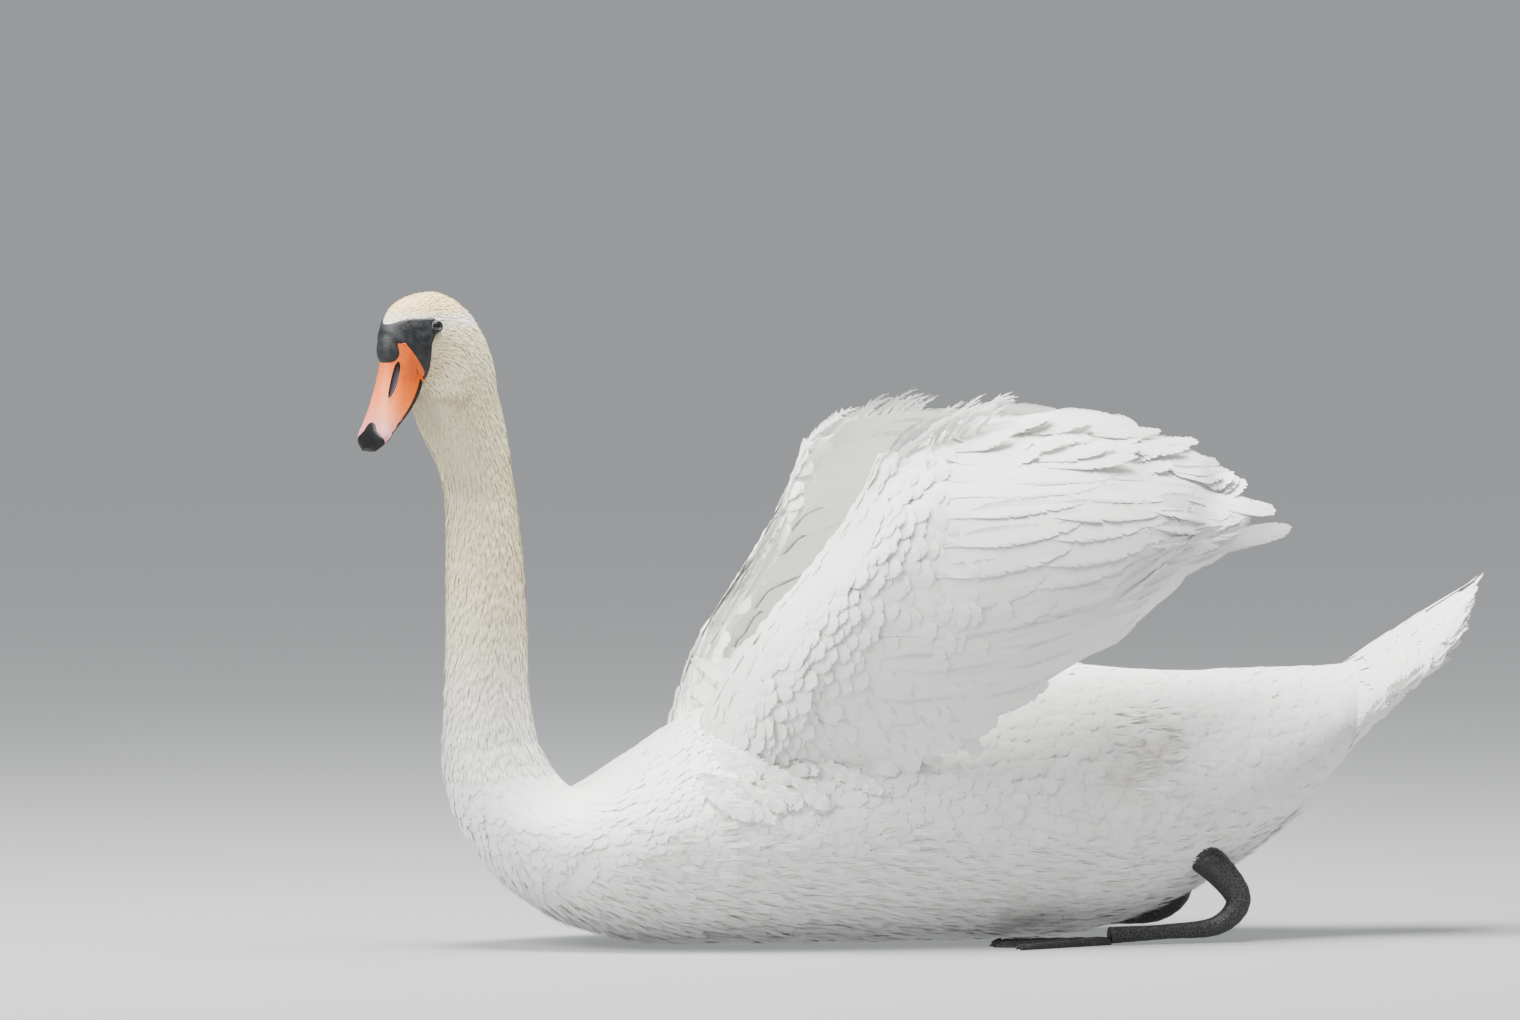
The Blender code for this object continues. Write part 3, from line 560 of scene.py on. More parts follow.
def bill_material():
    """Bill sheath: keratin like fingernail, orange at the root, pink by the nail, black rims."""
    material, tree, shader = shader_of("orange bill sheath keratin")
    place = add(tree, PLACE, {})["Object"]
    warm, black, hollow = (add(tree, ATTRIBUTE, {}, attribute_name=name)["Fac"]
                           for name in ("warmth", "black", "hollow"))
    cloud = add(tree, NOISE, {    # 6 mm blotches in the horn
        "Vector": place, "Scale": 160.0, "Detail": 5.0, "Roughness": 0.65})["Fac"]
    grain = add(tree, NOISE, {    # pores under a millimetre apart
        "Vector": place, "Scale": 1100.0, "Detail": 2.0})["Fac"]
    blotch = add(tree, RANGE, {0: cloud, 1: 0.2, 2: 0.8, 3: -0.12, 4: 0.12}, **EASED)[0]
    shifted = add(tree, MATH, {0: warm, 1: blotch}, operation="ADD")[0]
    horn = add(tree, "ShaderNodeValToRGB", {0: shifted})[0]
    ramp = horn.node.color_ramp
    while len(ramp.elements) < len(BILL_COLOURS):
        ramp.elements.new(0.5)
    for element, (position, colour) in zip(ramp.elements, BILL_COLOURS):
        element.position, element.color = position, linear(colour)
    dark = add(tree, MIX, {0: hollow, 6: linear(BILL_BLACK), 7: linear(NOSTRIL_GREY)}, **BLEND)[2]
    edge = add(tree, RANGE, {0: black, 1: 0.42, 2: 0.58}, **EASED)[0]
    feed(shader, {
        "Base Color": add(tree, MIX, {0: edge, 6: horn, 7: dark}, **BLEND)[2],
        "Roughness": add(tree, RANGE, {0: cloud, 1: 0.3, 2: 0.7, 3: 0.34, 4: 0.48}, **EASED)[0],
        "Normal": add(tree, BUMP, {"Height": grain, "Strength": 0.25, "Distance": 0.0003})[0],
        "Specular IOR Level": 0.35, "Subsurface Weight": 0.12,
        "Subsurface Radius": (0.004, 0.0015, 0.0008)})
    return material


PUPIL_BLACK, IRIS_BROWN = "#050505", "#1b120d"


def eye_material():
    """Wet cornea over a dark brown iris: nearly black, mirror smooth."""
    material, tree, shader = shader_of("wet dark brown eye")
    ring = add(tree, ATTRIBUTE, {}, attribute_name="iris")["Fac"]
    brown = add(tree, RANGE, {0: ring, 1: 0.35, 2: 0.6}, **EASED)[0]
    feed(shader, {
        "Base Color": add(tree, MIX, {0: brown, 6: linear(PUPIL_BLACK), 7: linear(IRIS_BROWN)},
                          **BLEND)[2],
        "Roughness": 0.06, "IOR": 1.38, "Coat Weight": 1.0, "Coat Roughness": 0.03})   # cornea
    return material


SCUTE_LONG, SCUTE_EDGE, SCUTE_GREY = 0.0035, "#4b4a47", "#26272a"


def leg_material():
    """Leg and web skin: dark grey scutes with paler edges, dull and dry."""
    material, tree, shader = shader_of("dark grey scaly leg skin")
    place = add(tree, PLACE, {})["Object"]
    scute = add(tree, CELLS, {"Vector": place, "Scale": 1.0 / SCUTE_LONG},
                feature="DISTANCE_TO_EDGE")["Distance"]
    edge = add(tree, RANGE, {0: scute, 1: 0.0, 2: 0.12}, **EASED)[0]
    feed(shader, {
        "Base Color": add(tree, MIX, {0: edge, 6: linear(SCUTE_EDGE), 7: linear(SCUTE_GREY)},
                          **BLEND)[2],
        "Normal": add(tree, BUMP, {"Height": edge, "Strength": 0.6, "Distance": 0.0005})[0],
        "Roughness": 0.5})
    return material


FLOOR_WHITE = 0.3        # share of light the floor gives back; it glows for the rest
FLOOR_SHADE, FLOOR_PALE, STUDIO_TINT, WORLD_LIGHT = "#939393", "#979797", "#e9edf0", 0.42


def floor_material():
    """Plain pale painted board, matt, lit evenly from far away so that no edge shows."""
    material, tree, shader = shader_of("pale matt floor paint")
    place = add(tree, PLACE, {})["Object"]
    cloud = add(tree, NOISE, {"Vector": place, "Scale": 1.5})["Fac"]        # 0.7 m across
    feed(shader, {
        "Base Color": add(tree, MIX, {0: cloud, 6: linear(FLOOR_SHADE), 7: linear(FLOOR_PALE)},
                          **BLEND)[2],
        "Emission Color": linear(STUDIO_TINT), "Roughness": 0.85, "Specular IOR Level": 0.0,
        "Emission Strength": WORLD_LIGHT * (1.0 - FLOOR_WHITE)})
    return material


# real barbs are 0.4 mm apart, too fine to show: these are 1.4 mm on a 16 mm plume and a 40 mm vane
body_feather = feather_material("white contour feather barbs", 0.09, 0.62)
# flight feathers get painted shade along their vane edges (rim 0.5)
flight_feather = feather_material("white flight feather vanes", 0.035, 0.55, 0.5)
down_skin = skin_material()
face_skin = bare_skin_material("black facial skin", 0.0008, "#101112", "#292b2e")
lid_skin = bare_skin_material("bare grey eyelid skin", 0.0009, "#232426", "#545658")
bill_horn = bill_material()
eye_wet = eye_material()
leg_skin = leg_material()

# =============================================================== skin
SKIN_DEPTH = ((0.0, 0.0013), (0.7, 0.0014), (1.2, 0.0020), (2.0, 0.0023), (2.35, 0.0030),
              (3.0, 0.0032))


def coat_depth(u):
    """How far the skin lies inside the feather tips, thin on the face and deep on the trunk."""
    return np.interp(u, *zip(*SKIN_DEPTH))


TAIL_SKIN, TAIL_SKIN_END = 0.0035, 0.86
TAIL_FOOT_INSIDE = 0.03                             # its first ring starts inside the trunk
ARM_SKIN_OUTER, ARM_SKIN_INNER = 0.0030, 0.0028     # depth inside the wing's two faces
ARM_SKIN_SHARE = 0.32                               # and at most this share of its thickness


def build_skin():
    """One closed skin: head, neck and trunk in a tube, joined to the tail's and the arms'."""
    u = np.concatenate([np.linspace(0, 1, 34), np.linspace(1, 2, 22)[1:], np.linspace(2, 3, 50)[1:]])
    v = np.arange(56) / 56
    grid_u, grid_v = np.meshgrid(u, v, indexing="ij")
    trunk_skin = tube("skin", body(grid_u, grid_v, coat_depth(grid_u)), down_skin)
    s, v = np.meshgrid(np.linspace(0, TAIL_SKIN_END, 18), np.arange(40) / 40, indexing="ij")
    rings = tail(s, v, TAIL_SKIN)
    rings[0] = rings[0] * 0.6 + (rings[0].mean(0) - (TAIL_FOOT_INSIDE, 0, 0)) * 0.4
    parts = [tube("tail_skin", rings, down_skin)]
    c, l = np.meshgrid(0.003 + 0.90 * np.linspace(0, 1, 44) ** 1.4, np.linspace(0.012, 0.965, 26),
                       indexing="ij")
    room = wing_thick(c, l)
    outer = wing(c, l, np.minimum(ARM_SKIN_OUTER, ARM_SKIN_SHARE * room))
    inner = wing_inner(c, l, np.minimum(ARM_SKIN_INNER, ARM_SKIN_SHARE * room))
    for side in (1, -1):
        parts.append(shell("arm_skin", outer * (1, side, 1), inner * (1, side, 1), down_skin))
    for part in parts:
        union = trunk_skin.modifiers.new("join", "BOOLEAN")
        union.operation, union.solver, union.object = "UNION", "EXACT", part
    apply_modifiers(trunk_skin)
    for part in parts:
        bpy.data.objects.remove(part, do_unlink=True)
    trunk_skin.data.shade_smooth()
    return trunk_skin


# =============================================================== feather patterns
SHAFT_START, SHAFT_LONG, SHAFT_RISE = 0.03, 0.85, 0.010     # of a feather one unit long
RIM_START, RIM_CURVE, BARB_LIFT = 0.14, 0.85, 0.006


def vane(rng, barbs, web, rise, dome, groups, clump, part, loose, blunt=3.5, tilt=0.0):
    """A feather one unit long and wide, root at 0 and tip at x = 1.

    Barbs join into a web by the shaft. Past it they draw together in groups by clump, and each
    barb's end narrows by part. Returns points (along, across, off the surface) and faces."""
    points, faces = [], []
    steps = np.linspace(0, 1, barbs + 1)

    def put(x, y, lift=0.0):
        height = rise * (1.55 * x - 0.62 * x * x) - dome * (2 * y) ** 2 + tilt * y
        points.append((x, y, height + lift))
        return len(points) - 1

    def rim(q):
        half = 0.5 * math.sqrt(max(1.0 - q ** blunt, 0.0)) * (0.5 + 0.5 * float(smooth(0, 0.45, q)))
        return RIM_START + (1.0 - RIM_START) * q ** RIM_CURVE, half

    shaft = [put(SHAFT_START + SHAFT_LONG * q, 0.0, SHAFT_RISE) for q in steps]
    for side in (1, -1):
        web_row = []
        for q in steps:
            x_end, y_end = rim(q)
            x_root = SHAFT_START + SHAFT_LONG * q
            web_row.append(put(x_root + (x_end - x_root) * web, side * y_end * web))
        cuts = np.sort(rng.uniform(0.2, 0.95, groups - 1))
        bounds = np.concatenate([[0.0], cuts, [2.0 - cuts[-1]]])
        for k in range(barbs):
            middle = (steps[k] + steps[k + 1]) / 2
            group = int(np.searchsorted(bounds, middle)) - 1
            centre = (bounds[group] + bounds[group + 1]) / 2
            reach, lift = 1.0 + loose * rng.uniform(-1, 1), rng.uniform(-1, 1) * BARB_LIFT
            ends = []
            for q in (steps[k], steps[k + 1]):
                q = q + (middle - q) * part
                x, y = rim(min(q + (centre - q) * clump, 1.0))
                ends.append(put(x * reach, side * y * reach, lift))
            for quad in ((shaft[k], shaft[k + 1], web_row[k + 1], web_row[k]),
                         (web_row[k], web_row[k + 1], ends[1], ends[0])):
                faces.append(quad if side > 0 else quad[::-1])
    return np.array(points), faces


STRAND_WIDTHS = (0.0, 0.9), (0.42, 1.0), (0.78, 0.62)       # along a strand, and how wide there
TUFT_ROOT, TUFT_WIDE, TUFT_ARCH = 0.30, 0.62, 0.05


def tuft(rng, strands, spread, rise, waver):
    """A small tuft of barbs like a wet brush, one unit long."""
    points, faces = [], []
    for k in range(strands):
        f = (k + 0.5) / strands * 2 - 1
        start, reach = TUFT_ROOT * f, 1.0 - 0.22 * f * f + rng.uniform(-0.14, 0.1)
        end, lift = spread * f + rng.uniform(-waver, waver), rng.uniform(-0.02, 0.05)
        half = TUFT_WIDE / strands
        first = len(points)
        for t, share in STRAND_WIDTHS:
            y = start + (end - start) * t ** 1.4
            z = rise * (1.6 * t - 0.72 * t * t) + lift * t - TUFT_ARCH * f * f
            points += [(reach * t, y - half * share, z), (reach * t, y + half * share, z)]
        points.append((reach, end, rise * 0.88 + lift))
        faces += [(first, first + 2, first + 3, first + 1),
                  (first + 2, first + 4, first + 5, first + 3), (first + 4, first + 6, first + 5)]
    return np.array(points), faces


def pattern_set(name, makers):
    """A collection of feather patterns, each with its own vane map."""
    group = bpy.data.collections.new(name)
    bpy.context.scene.collection.children.link(group)
    for k, (points, faces) in enumerate(makers):
        data = bpy.data.meshes.new(f"{name}_{k}")
        data.from_pydata(points.tolist(), [], faces)
        data.shade_smooth()
        set_uv(data, "vane", vane_places(points))
        group.objects.link(bpy.data.objects.new(data.name, data))
    return group


PATTERNS = (  # name, how many, what draws it, its shape
    ("face_tufts", 5, tuft, dict(strands=4, spread=0.34, rise=0.13, waver=0.07)),
    ("neck_tufts", 6, tuft, dict(strands=6, spread=0.36, rise=0.115, waver=0.12)),
    ("flank_tufts", 6, tuft, dict(strands=7, spread=0.30, rise=0.13, waver=0.22)),
    ("plumes", 6, vane, dict(barbs=9, web=0.66, rise=0.055, dome=0.03, groups=3, clump=0.18,
                             part=0.22, loose=0.035)),
    ("coverts", 6, vane, dict(barbs=11, web=0.80, rise=0.034, dome=0.040, groups=4, clump=0.16,
                              part=0.18, loose=0.025)),
)
draw = np.random.RandomState(41)
feathers = {name: pattern_set(name, [make(draw, **shape) for _ in range(count)])
            for name, count, make, shape in PATTERNS}

# =============================================================== the coat's node tree
PATCH = 0.003           # each feather's own square on the bake map
FILL = 2.5              # roots tried for each square of the spacing
READ, RANDOM = "GeometryNodeInputNamedAttribute", "FunctionNodeRandomValue"
STORE = "GeometryNodeStoreNamedAttribute"


def coat_tree():
    """Scatters roots on a bed, lays a pattern on each along the lie, and maps it."""
    tree = bpy.data.node_groups.new("feather coat", "GeometryNodeTree")
    for label, kind in (("Bed", "Geometry"), ("Patterns", "Collection"), ("Pattern Count", "Int"),
                        ("Spacing", "Float"), ("Seed", "Int"), ("Ruffle", "Float"),
                        ("Unevenness", "Float"), ("Patch", "Float"), ("Material", "Material")):
        tree.interface.new_socket(label, in_out="INPUT", socket_type="NodeSocket" + kind)
    tree.interface.new_socket("Coat", in_out="OUTPUT", socket_type="NodeSocketGeometry")
    given = add(tree, "NodeGroupInput", {})
    share, long, wide = (add(tree, READ, {"Name": name}, data_type="FLOAT")["Attribute"]
                         for name in ("share", "long", "wide"))
    outward, lie, vane_map, place = (
        add(tree, READ, {"Name": name}, data_type="FLOAT_VECTOR")["Attribute"]
        for name in ("outward", "lie", "vane", "place"))
    seeds = [add(tree, MATH, {0: given["Seed"], 1: step}, operation="ADD")[0]
             for step in (1, 2, 3, 4)]
    room = add(tree, MATH, {0: given["Spacing"], 1: given["Spacing"]}, **TIMES)[0]
    crowd = add(tree, MATH, {0: FILL, 1: room}, operation="DIVIDE")[0]
    points = add(tree, "GeometryNodeDistributePointsOnFaces", {
        "Mesh": given["Bed"], "Distance Min": given["Spacing"], "Density Max": crowd,
        "Density Factor": share, "Seed": given["Seed"]}, distribute_method="POISSON")["Points"]
    tint = add(tree, RANDOM, {2: 0.0, 3: 1.0, "Seed": seeds[0]}, data_type="FLOAT")[1]
    roots = add(tree, STORE, {"Geometry": points, "Name": "tint", "Value": tint},
                data_type="FLOAT", domain="POINT")[0]
    facing = add(tree, "FunctionNodeAxesToRotation", {0: outward, 1: lie}, primary_axis="Z",
                 secondary_axis="X")[0]
    reach = []
    for turn in (-1.0, 1.0):        # a feather rolls and veers by the ruffle, and nods by half
        most = add(tree, MATH, {0: given["Ruffle"], 1: turn}, **TIMES)[0]
        half = add(tree, MATH, {0: most, 1: 0.5}, **TIMES)[0]
        reach.append(add(tree, JOIN, {0: most, 1: half, 2: most})[0])
    shake = add(tree, RANDOM, {0: reach[0], 1: reach[1], "Seed": seeds[1]},
                data_type="FLOAT_VECTOR")[0]
    euler = add(tree, "FunctionNodeEulerToRotation", {0: shake})[0]
    turned = add(tree, "FunctionNodeRotateRotation", {0: facing, 1: euler},
                 rotation_space="LOCAL")[0]
    least = add(tree, MATH, {0: 1.0, 1: given["Unevenness"]}, operation="SUBTRACT")[0]
    most = add(tree, MATH, {0: 1.0, 1: given["Unevenness"]}, operation="ADD")[0]
    size = add(tree, RANDOM, {2: least, 3: most, "Seed": seeds[2]}, data_type="FLOAT")[1]
    length, width = (add(tree, MATH, {0: measure, 1: size}, **TIMES)[0] for measure in (long, wide))
    scale = add(tree, JOIN, {0: length, 1: width, 2: length})[0]
    patterns = add(tree, "GeometryNodeCollectionInfo", {
        "Collection": given["Patterns"], "Separate Children": True, "Reset Children": True},
        transform_space="ORIGINAL")[0]
    last = add(tree, MATH, {0: given["Pattern Count"], 1: 1}, operation="SUBTRACT")[0]
    pick = add(tree, RANDOM, {4: 0, 5: last, "Seed": seeds[3]}, data_type="INT")[2]
    laid = add(tree, "GeometryNodeInstanceOnPoints", {
        "Points": roots, "Instance": patterns, "Pick Instance": True, "Instance Index": pick,
        "Rotation": turned, "Scale": scale})[0]
    real = add(tree, "GeometryNodeRealizeInstances", {0: laid})[0]
    small = add(tree, VECTOR, {0: vane_map, "Scale": given["Patch"]}, operation="SCALE")[0]
    spot = add(tree, VECTOR, {0: place, 1: small}, operation="ADD")[0]
    mapped = add(tree, STORE, {"Geometry": real, "Name": "OFBake", "Value": spot},
                 data_type="FLOAT2", domain="CORNER")[0]
    done = add(tree, "GeometryNodeSetMaterial", {
        "Geometry": mapped, "Material": given["Material"]})[0]
    add(tree, "NodeGroupOutput", {0: done})
    return tree


COAT = coat_tree()
COAT_INPUTS = {item.name: item.identifier for item in COAT.interface.items_tree
               if item.in_out == "INPUT"}


MAP_MARGIN = 0.02, 0.97         # roots keep this far inside the bake map
COATS = {  # pattern, spacing of its roots, seed, ruffle, unevenness, width for a unit of length
    "coat_head": ("face_tufts", 0.0019, 11, 0.10, 0.20, 0.36),
    "coat_neck": ("neck_tufts", 0.0027, 12, 0.10, 0.20, 0.38),
    "coat_breast": ("plumes", 0.0056, 13, 0.045, 0.15, 0.60),
    "coat_flanks": ("plumes", 0.0074, 14, 0.045, 0.15, 0.60),
    "coat_rump": ("plumes", 0.0070, 15, 0.045, 0.15, 0.60),
    "coat_waterline": ("flank_tufts", 0.0052, 16, 0.20, 0.25, 0.0072 / 0.021),
    "tail_coverts": ("plumes", 0.0062, 32, 0.06, 0.20, 0.016 / 0.028),
}
for hand, step in (("right", 0), ("left", 2)):
    COATS[f"wing_{hand}_coverts_outer"] = "coverts", 0.0064, 21 + step, 0.06, 0.18, 0.78
    COATS[f"wing_{hand}_coverts_inner"] = "coverts", 0.0064, 22 + step, 0.06, 0.18, 0.62
    COATS[f"wing_{hand}_nose"] = "coverts", 0.0048, 62 - step, 0.05, 0.15, 0.0145 / 0.021


def coat(name, points, lie, outward, share, long, side=1):
    """Dress a grid of points with feathers, mirrored for side -1: one coat piece, a plain mesh."""
    patterns, spacing, seed, ruffle, unevenness, stout = COATS[name]
    rows, columns = points.shape[:2]
    flip = np.array([1, side, 1])
    piece = new_piece(name, points * flip, grid_faces(rows, columns), body_feather)
    a, b = net((*MAP_MARGIN, rows), (*MAP_MARGIN, columns))
    for key, values in (("lie", lie * flip), ("outward", outward * flip),
                        ("place", np.stack([a, b, 0 * a], -1))):
        layer = piece.data.attributes.new(key, "FLOAT_VECTOR", "POINT")
        layer.data.foreach_set("vector", values.astype(np.float32).ravel())
    for key, values in (("share", share), ("long", long), ("wide", long * stout)):
        layer = piece.data.attributes.new(key, "FLOAT", "POINT")
        layer.data.foreach_set("value", np.broadcast_to(values, a.shape).astype(np.float32).ravel())
    modifier = piece.modifiers.new("coat", "NODES")
    modifier.node_group = COAT
    for key, value in {"Patterns": feathers[patterns], "Spacing": spacing, "Seed": seed,
                       "Pattern Count": len(feathers[patterns].objects), "Ruffle": ruffle,
                       "Unevenness": unevenness, "Patch": PATCH, "Material": body_feather}.items():
        modifier[COAT_INPUTS[key]] = value
    apply_modifiers(piece)
    keep_on_the_floor(piece.data)
    for key in ("lie", "outward", "place", "share", "long", "wide"):
        if key in piece.data.attributes:
            piece.data.attributes.remove(piece.data.attributes[key])
    return piece


OFF_THE_FLOOR = 0.0002


def keep_on_the_floor(data):
    flat = np.zeros(len(data.vertices) * 3, np.float32)
    data.vertices.foreach_get("co", flat)
    flat[2::3] = np.maximum(flat[2::3], OFF_THE_FLOOR)
    data.vertices.foreach_set("co", flat)


# =============================================================== bare face and where feathers start
MASK_TOP = 0.5143       # the black mask's straight upper edge
MASK_BACK = ((0.4520, 0.0790), (0.4600, 0.0750), (0.4660, 0.0729), (0.4710, 0.0725),
             (0.4800, 0.0725), (0.4940, 0.0722), (0.5010, 0.0686), (0.5060, 0.0622),
             (0.5110, 0.0622), (0.5143, 0.0665))        # height, and how far back it goes there
ORANGE_BACK = ((0.4520, 0.0830), (0.4600, 0.0788), (0.4660, 0.0763), (0.4700, 0.0757),
               (0.4725, 0.0765), (0.4800, 0.0820), (0.4882, 0.0885), (0.4946, 0.0933))
ORANGE_SIDE = 0.009     # nothing orange nearer the midline than this
MASK_DIP, MASK_DIP_SIDE = 0.0042, (0.017, 0.003)    # its top edge is lower by the midline
SINK, SINK_MOST = 1.2, 0.0032       # a patch dives under its neighbour past its outline
MASK_PROUD, GAPE_PROUD = 0.0003, 0.0007     # how far mask and gape stand off the face
PATCH_WALL, PATCH_REACH = 0.0012, 0.60      # a patch's thickness, and how far back it may go


def head_plane(points):
    """Forward and height in the head's own upright plane, and how far aside."""
    across = points - HEAD_AXIS
    return across @ LOOK, points[..., 2], np.abs(across @ LEFT)


def bare(points):
    """Distance inside the bare black mask, negative outside."""
    forward, height, side = head_plane(points)
    back = np.interp(height, *zip(*MASK_BACK))
    peak = MASK_TOP - MASK_DIP * smooth(*MASK_DIP_SIDE, side)
    return np.minimum(forward - back, peak - height)


def orange_gape(points):
    """Distance inside the orange that runs back over the face to the gape."""
    forward, height, side = head_plane(points)
    back = np.interp(height, *zip(*ORANGE_BACK))
    return np.minimum.reduce([forward - back, ORANGE_BACK[-1][0] - height, side - ORANGE_SIDE])


def eye_distance(points):
    near = np.full(points.shape[:-1], 1.0)
    for side in (EYE_SIDE, -EYE_SIDE):
        near = np.minimum(near, np.linalg.norm(
            points - head_place(EYE_FORWARD, side, EYE_HEIGHT), axis=-1))
    return near


def body_bed(u0, u1, rows, columns):
    """The skin of one stretch of the body, and which way feathers face and lie there."""
    u, v = net((u0, u1, rows), (0, 1, columns))
    depth = coat_depth(u)
    points = body(u, v, depth)
    outward = normals_of(lambda a, b: body(a, b, depth), u, v)
    lie = unit(body(u + 0.01, v, depth) - body(u - 0.01, v, depth))
    return u, v, points, lie, outward


CHEEK_FOLD, FOLD_RISE, CHEEK_PUFF = 0.4460, 0.0075, 0.0036     # the fold where cheek meets neck
MASK_GAP, EYE_GAP = 0.0003, 0.0062                              # bare skin left around
NECK_LENGTHS = (0.74, 1.2, 2.1), (0.0086, 0.0118, 0.0145)       # tuft lengths down the neck
PLUMED = (  # stretch of the body, and feather length at its two ends
    ("coat_breast", (2.0, 2.42), (0.015, 0.023)),
    ("coat_flanks", (2.40, 2.72), (0.023, 0.027)),
    ("coat_rump", (2.70, 3.0), (0.026, 0.025)),
)
BELLY_THIN = 0.45                                               # share of plumes left off below
WATERLINE_TUFT = 0.021


def dress_head():
    """Tiny tufts up to the black mask and the eye, with the cheek puffed over its fold."""
    u, _, points, lie, outward = body_bed(0.0, 1.0, 110, 150)
    share = ((bare(points) < -MASK_GAP) & (eye_distance(points) > EYE_GAP)) * smooth(1.0, 0.80, u)
    forward, height, side = head_plane(points)
    near_bill = smooth(0.045, 0.09, forward) * smooth(0.43, 0.46, height)
    long = 0.0078 - 0.0046 * near_bill + 0.002 * smooth(0.45, 0.38, height)
    fold = height - CHEEK_FOLD - FOLD_RISE * smooth(0.0, 0.017, side)
    puffed = smooth(0.0, 0.0022, fold) * smooth(0.040, 0.0, fold) * smooth(0.030, 0.052, forward)
    points = points + outward * (CHEEK_PUFF * puffed)[..., None]
    return coat("coat_head", points, lie, outward, share, long)


def dress_neck():
    """Slim tufts from the cheeks to the breast."""
    u, _, points, lie, outward = body_bed(0.74, 2.06, 130, 90)
    return coat("coat_neck", points, lie, outward, smooth(0.76, 0.98, u),
                np.interp(u, *NECK_LENGTHS))


def dress_trunk(name, stretch, lengths):
    """Overlapping plumes along one stretch of the trunk, thinner under the belly."""
    u, _, points, lie, outward = body_bed(*stretch, 70, 120)
    belly = smooth(0.05, 0.0, points[..., 2])
    return coat(name, points, lie, outward, 1 - BELLY_THIN * belly, np.interp(u, stretch, lengths))


def dress_waterline():
    """Wet, drawn-out tufts along the flanks, and the stained ones by the thigh."""
    _, _, points, lie, outward = body_bed(2.30, 3.0, 110, 150)
    x, y, z = np.moveaxis(points, -1, 0)
    wet = smooth(0.115, 0.060, z) * smooth(0.004, 0.012, z)
    thigh = smooth(0.055, 0.015, np.hypot(x - STAIN_PLACE[0], z - STAIN_PLACE[1]))
    share = np.maximum(wet, 0.8 * (thigh * (np.abs(y) > 0.05)))
    return coat("coat_waterline", points, lie, outward, share, WATERLINE_TUFT)


def dress_body():
    return [dress_head(), dress_neck(), *(dress_trunk(*row) for row in PLUMED), dress_waterline()]


# =============================================================== wings
VANE_SLOPE, WRIST_SLOPE, TIP_SLOPE, ELBOW_SLOPE, INNER_SLOPE = 0.16, 0.55, 0.14, -0.20, 0.28


def heading(points, inner):
    """The way feathers point on a wing, as a slope in the upright plane."""
    x, z = points[..., 0], points[..., 2]
    front = smooth(0.02, -0.14, x)
    rise = VANE_SLOPE + WRIST_SLOPE * front * smooth(0.32, 0.42, z)
    rise = rise + TIP_SLOPE * smooth(0.0, 0.15, x) * smooth(0.34, 0.25, z)
    rise = rise + (INNER_SLOPE if inner else ELBOW_SLOPE * smooth(0.34, 0.24, z)) * front
    return unit(np.stack([np.ones_like(x), 0 * x, rise], -1))


def wing_face(c, l, inner, depth=0.0):
    return wing_inner(c, l, depth) if inner else wing(c, l, depth)


def wing_frame(c, l, inner, depth):
    """Point, outward direction and lie on one face of the right wing."""
    points = wing_face(c, l, inner, depth)
    outward = wing_out(c, l) * (-1 if inner else 1)
    way = heading(points, inner)
    lie = unit(way - outward * (way * outward).sum(-1, keepdims=True))
    return points, outward, lie


WING_RIM, TRACE_STEP = 0.015, 0.004      # share of the wing taken as its rim; a small step
WING_END = 0.865         # behind here only the two longest primaries show
PATH_STEPS, REACH_STEPS, RIM_TRIES = 14, 40, 3
SHORTEST_VANE = 0.036


def trace(c, l, inner, depth, length, steps=PATH_STEPS):
    """Follow the lie over the wing from each root; beyond the wing's rim go straight on.

    Returns the points, the outward directions, and which points are still on the wing."""
    paths, outs, inside = [], [], []
    point, outward, lie = wing_frame(c, l, inner, depth)
    gone = np.zeros(c.shape, bool)
    stride = length / steps
    for _ in range(steps + 1):
        paths.append(point)
        outs.append(outward)
        inside.append(~gone)
        base = wing_face(c, l, inner, depth)
        tc = (wing_face(c + TRACE_STEP, l, inner, depth) - base) / TRACE_STEP
        tl = (wing_face(c, l + TRACE_STEP, inner, depth) - base) / TRACE_STEP
        step = lie * stride[:, None]
        cc, cl, ll = (tc * tc).sum(-1), (tc * tl).sum(-1), (tl * tl).sum(-1)
        on_c, on_l = (tc * step).sum(-1), (tl * step).sum(-1)
        spread = cc * ll - cl * cl + 1e-12
        c_next = c + (on_c * ll - on_l * cl) / spread
        l_next = l + (on_l * cc - on_c * cl) / spread
        gone = gone | (c_next > WING_END) | (c_next < 0)
        gone = gone | (l_next > 1 - WING_RIM) | (l_next < WING_RIM)
        c, l = np.where(gone, c, c_next), np.where(gone, l, l_next)
        on_point, on_out, on_lie = wing_frame(c, l, inner, depth)
        point = np.where(gone[:, None], point + step, on_point)
        outward = np.where(gone[:, None], outward, on_out)
        lie = np.where(gone[:, None], lie, on_lie)
    return np.stack(paths, 1), np.stack(outs, 1), np.stack(inside, 1)


def reach_to_rim(c, l, inner, most):
    """How far each feather can run before the wing's rim."""
    _, _, inside = trace(c, l, inner, 0.0, np.full(c.shape, most), REACH_STEPS)
    return np.where(inside.all(1), most, most * inside.argmin(1) / REACH_STEPS)


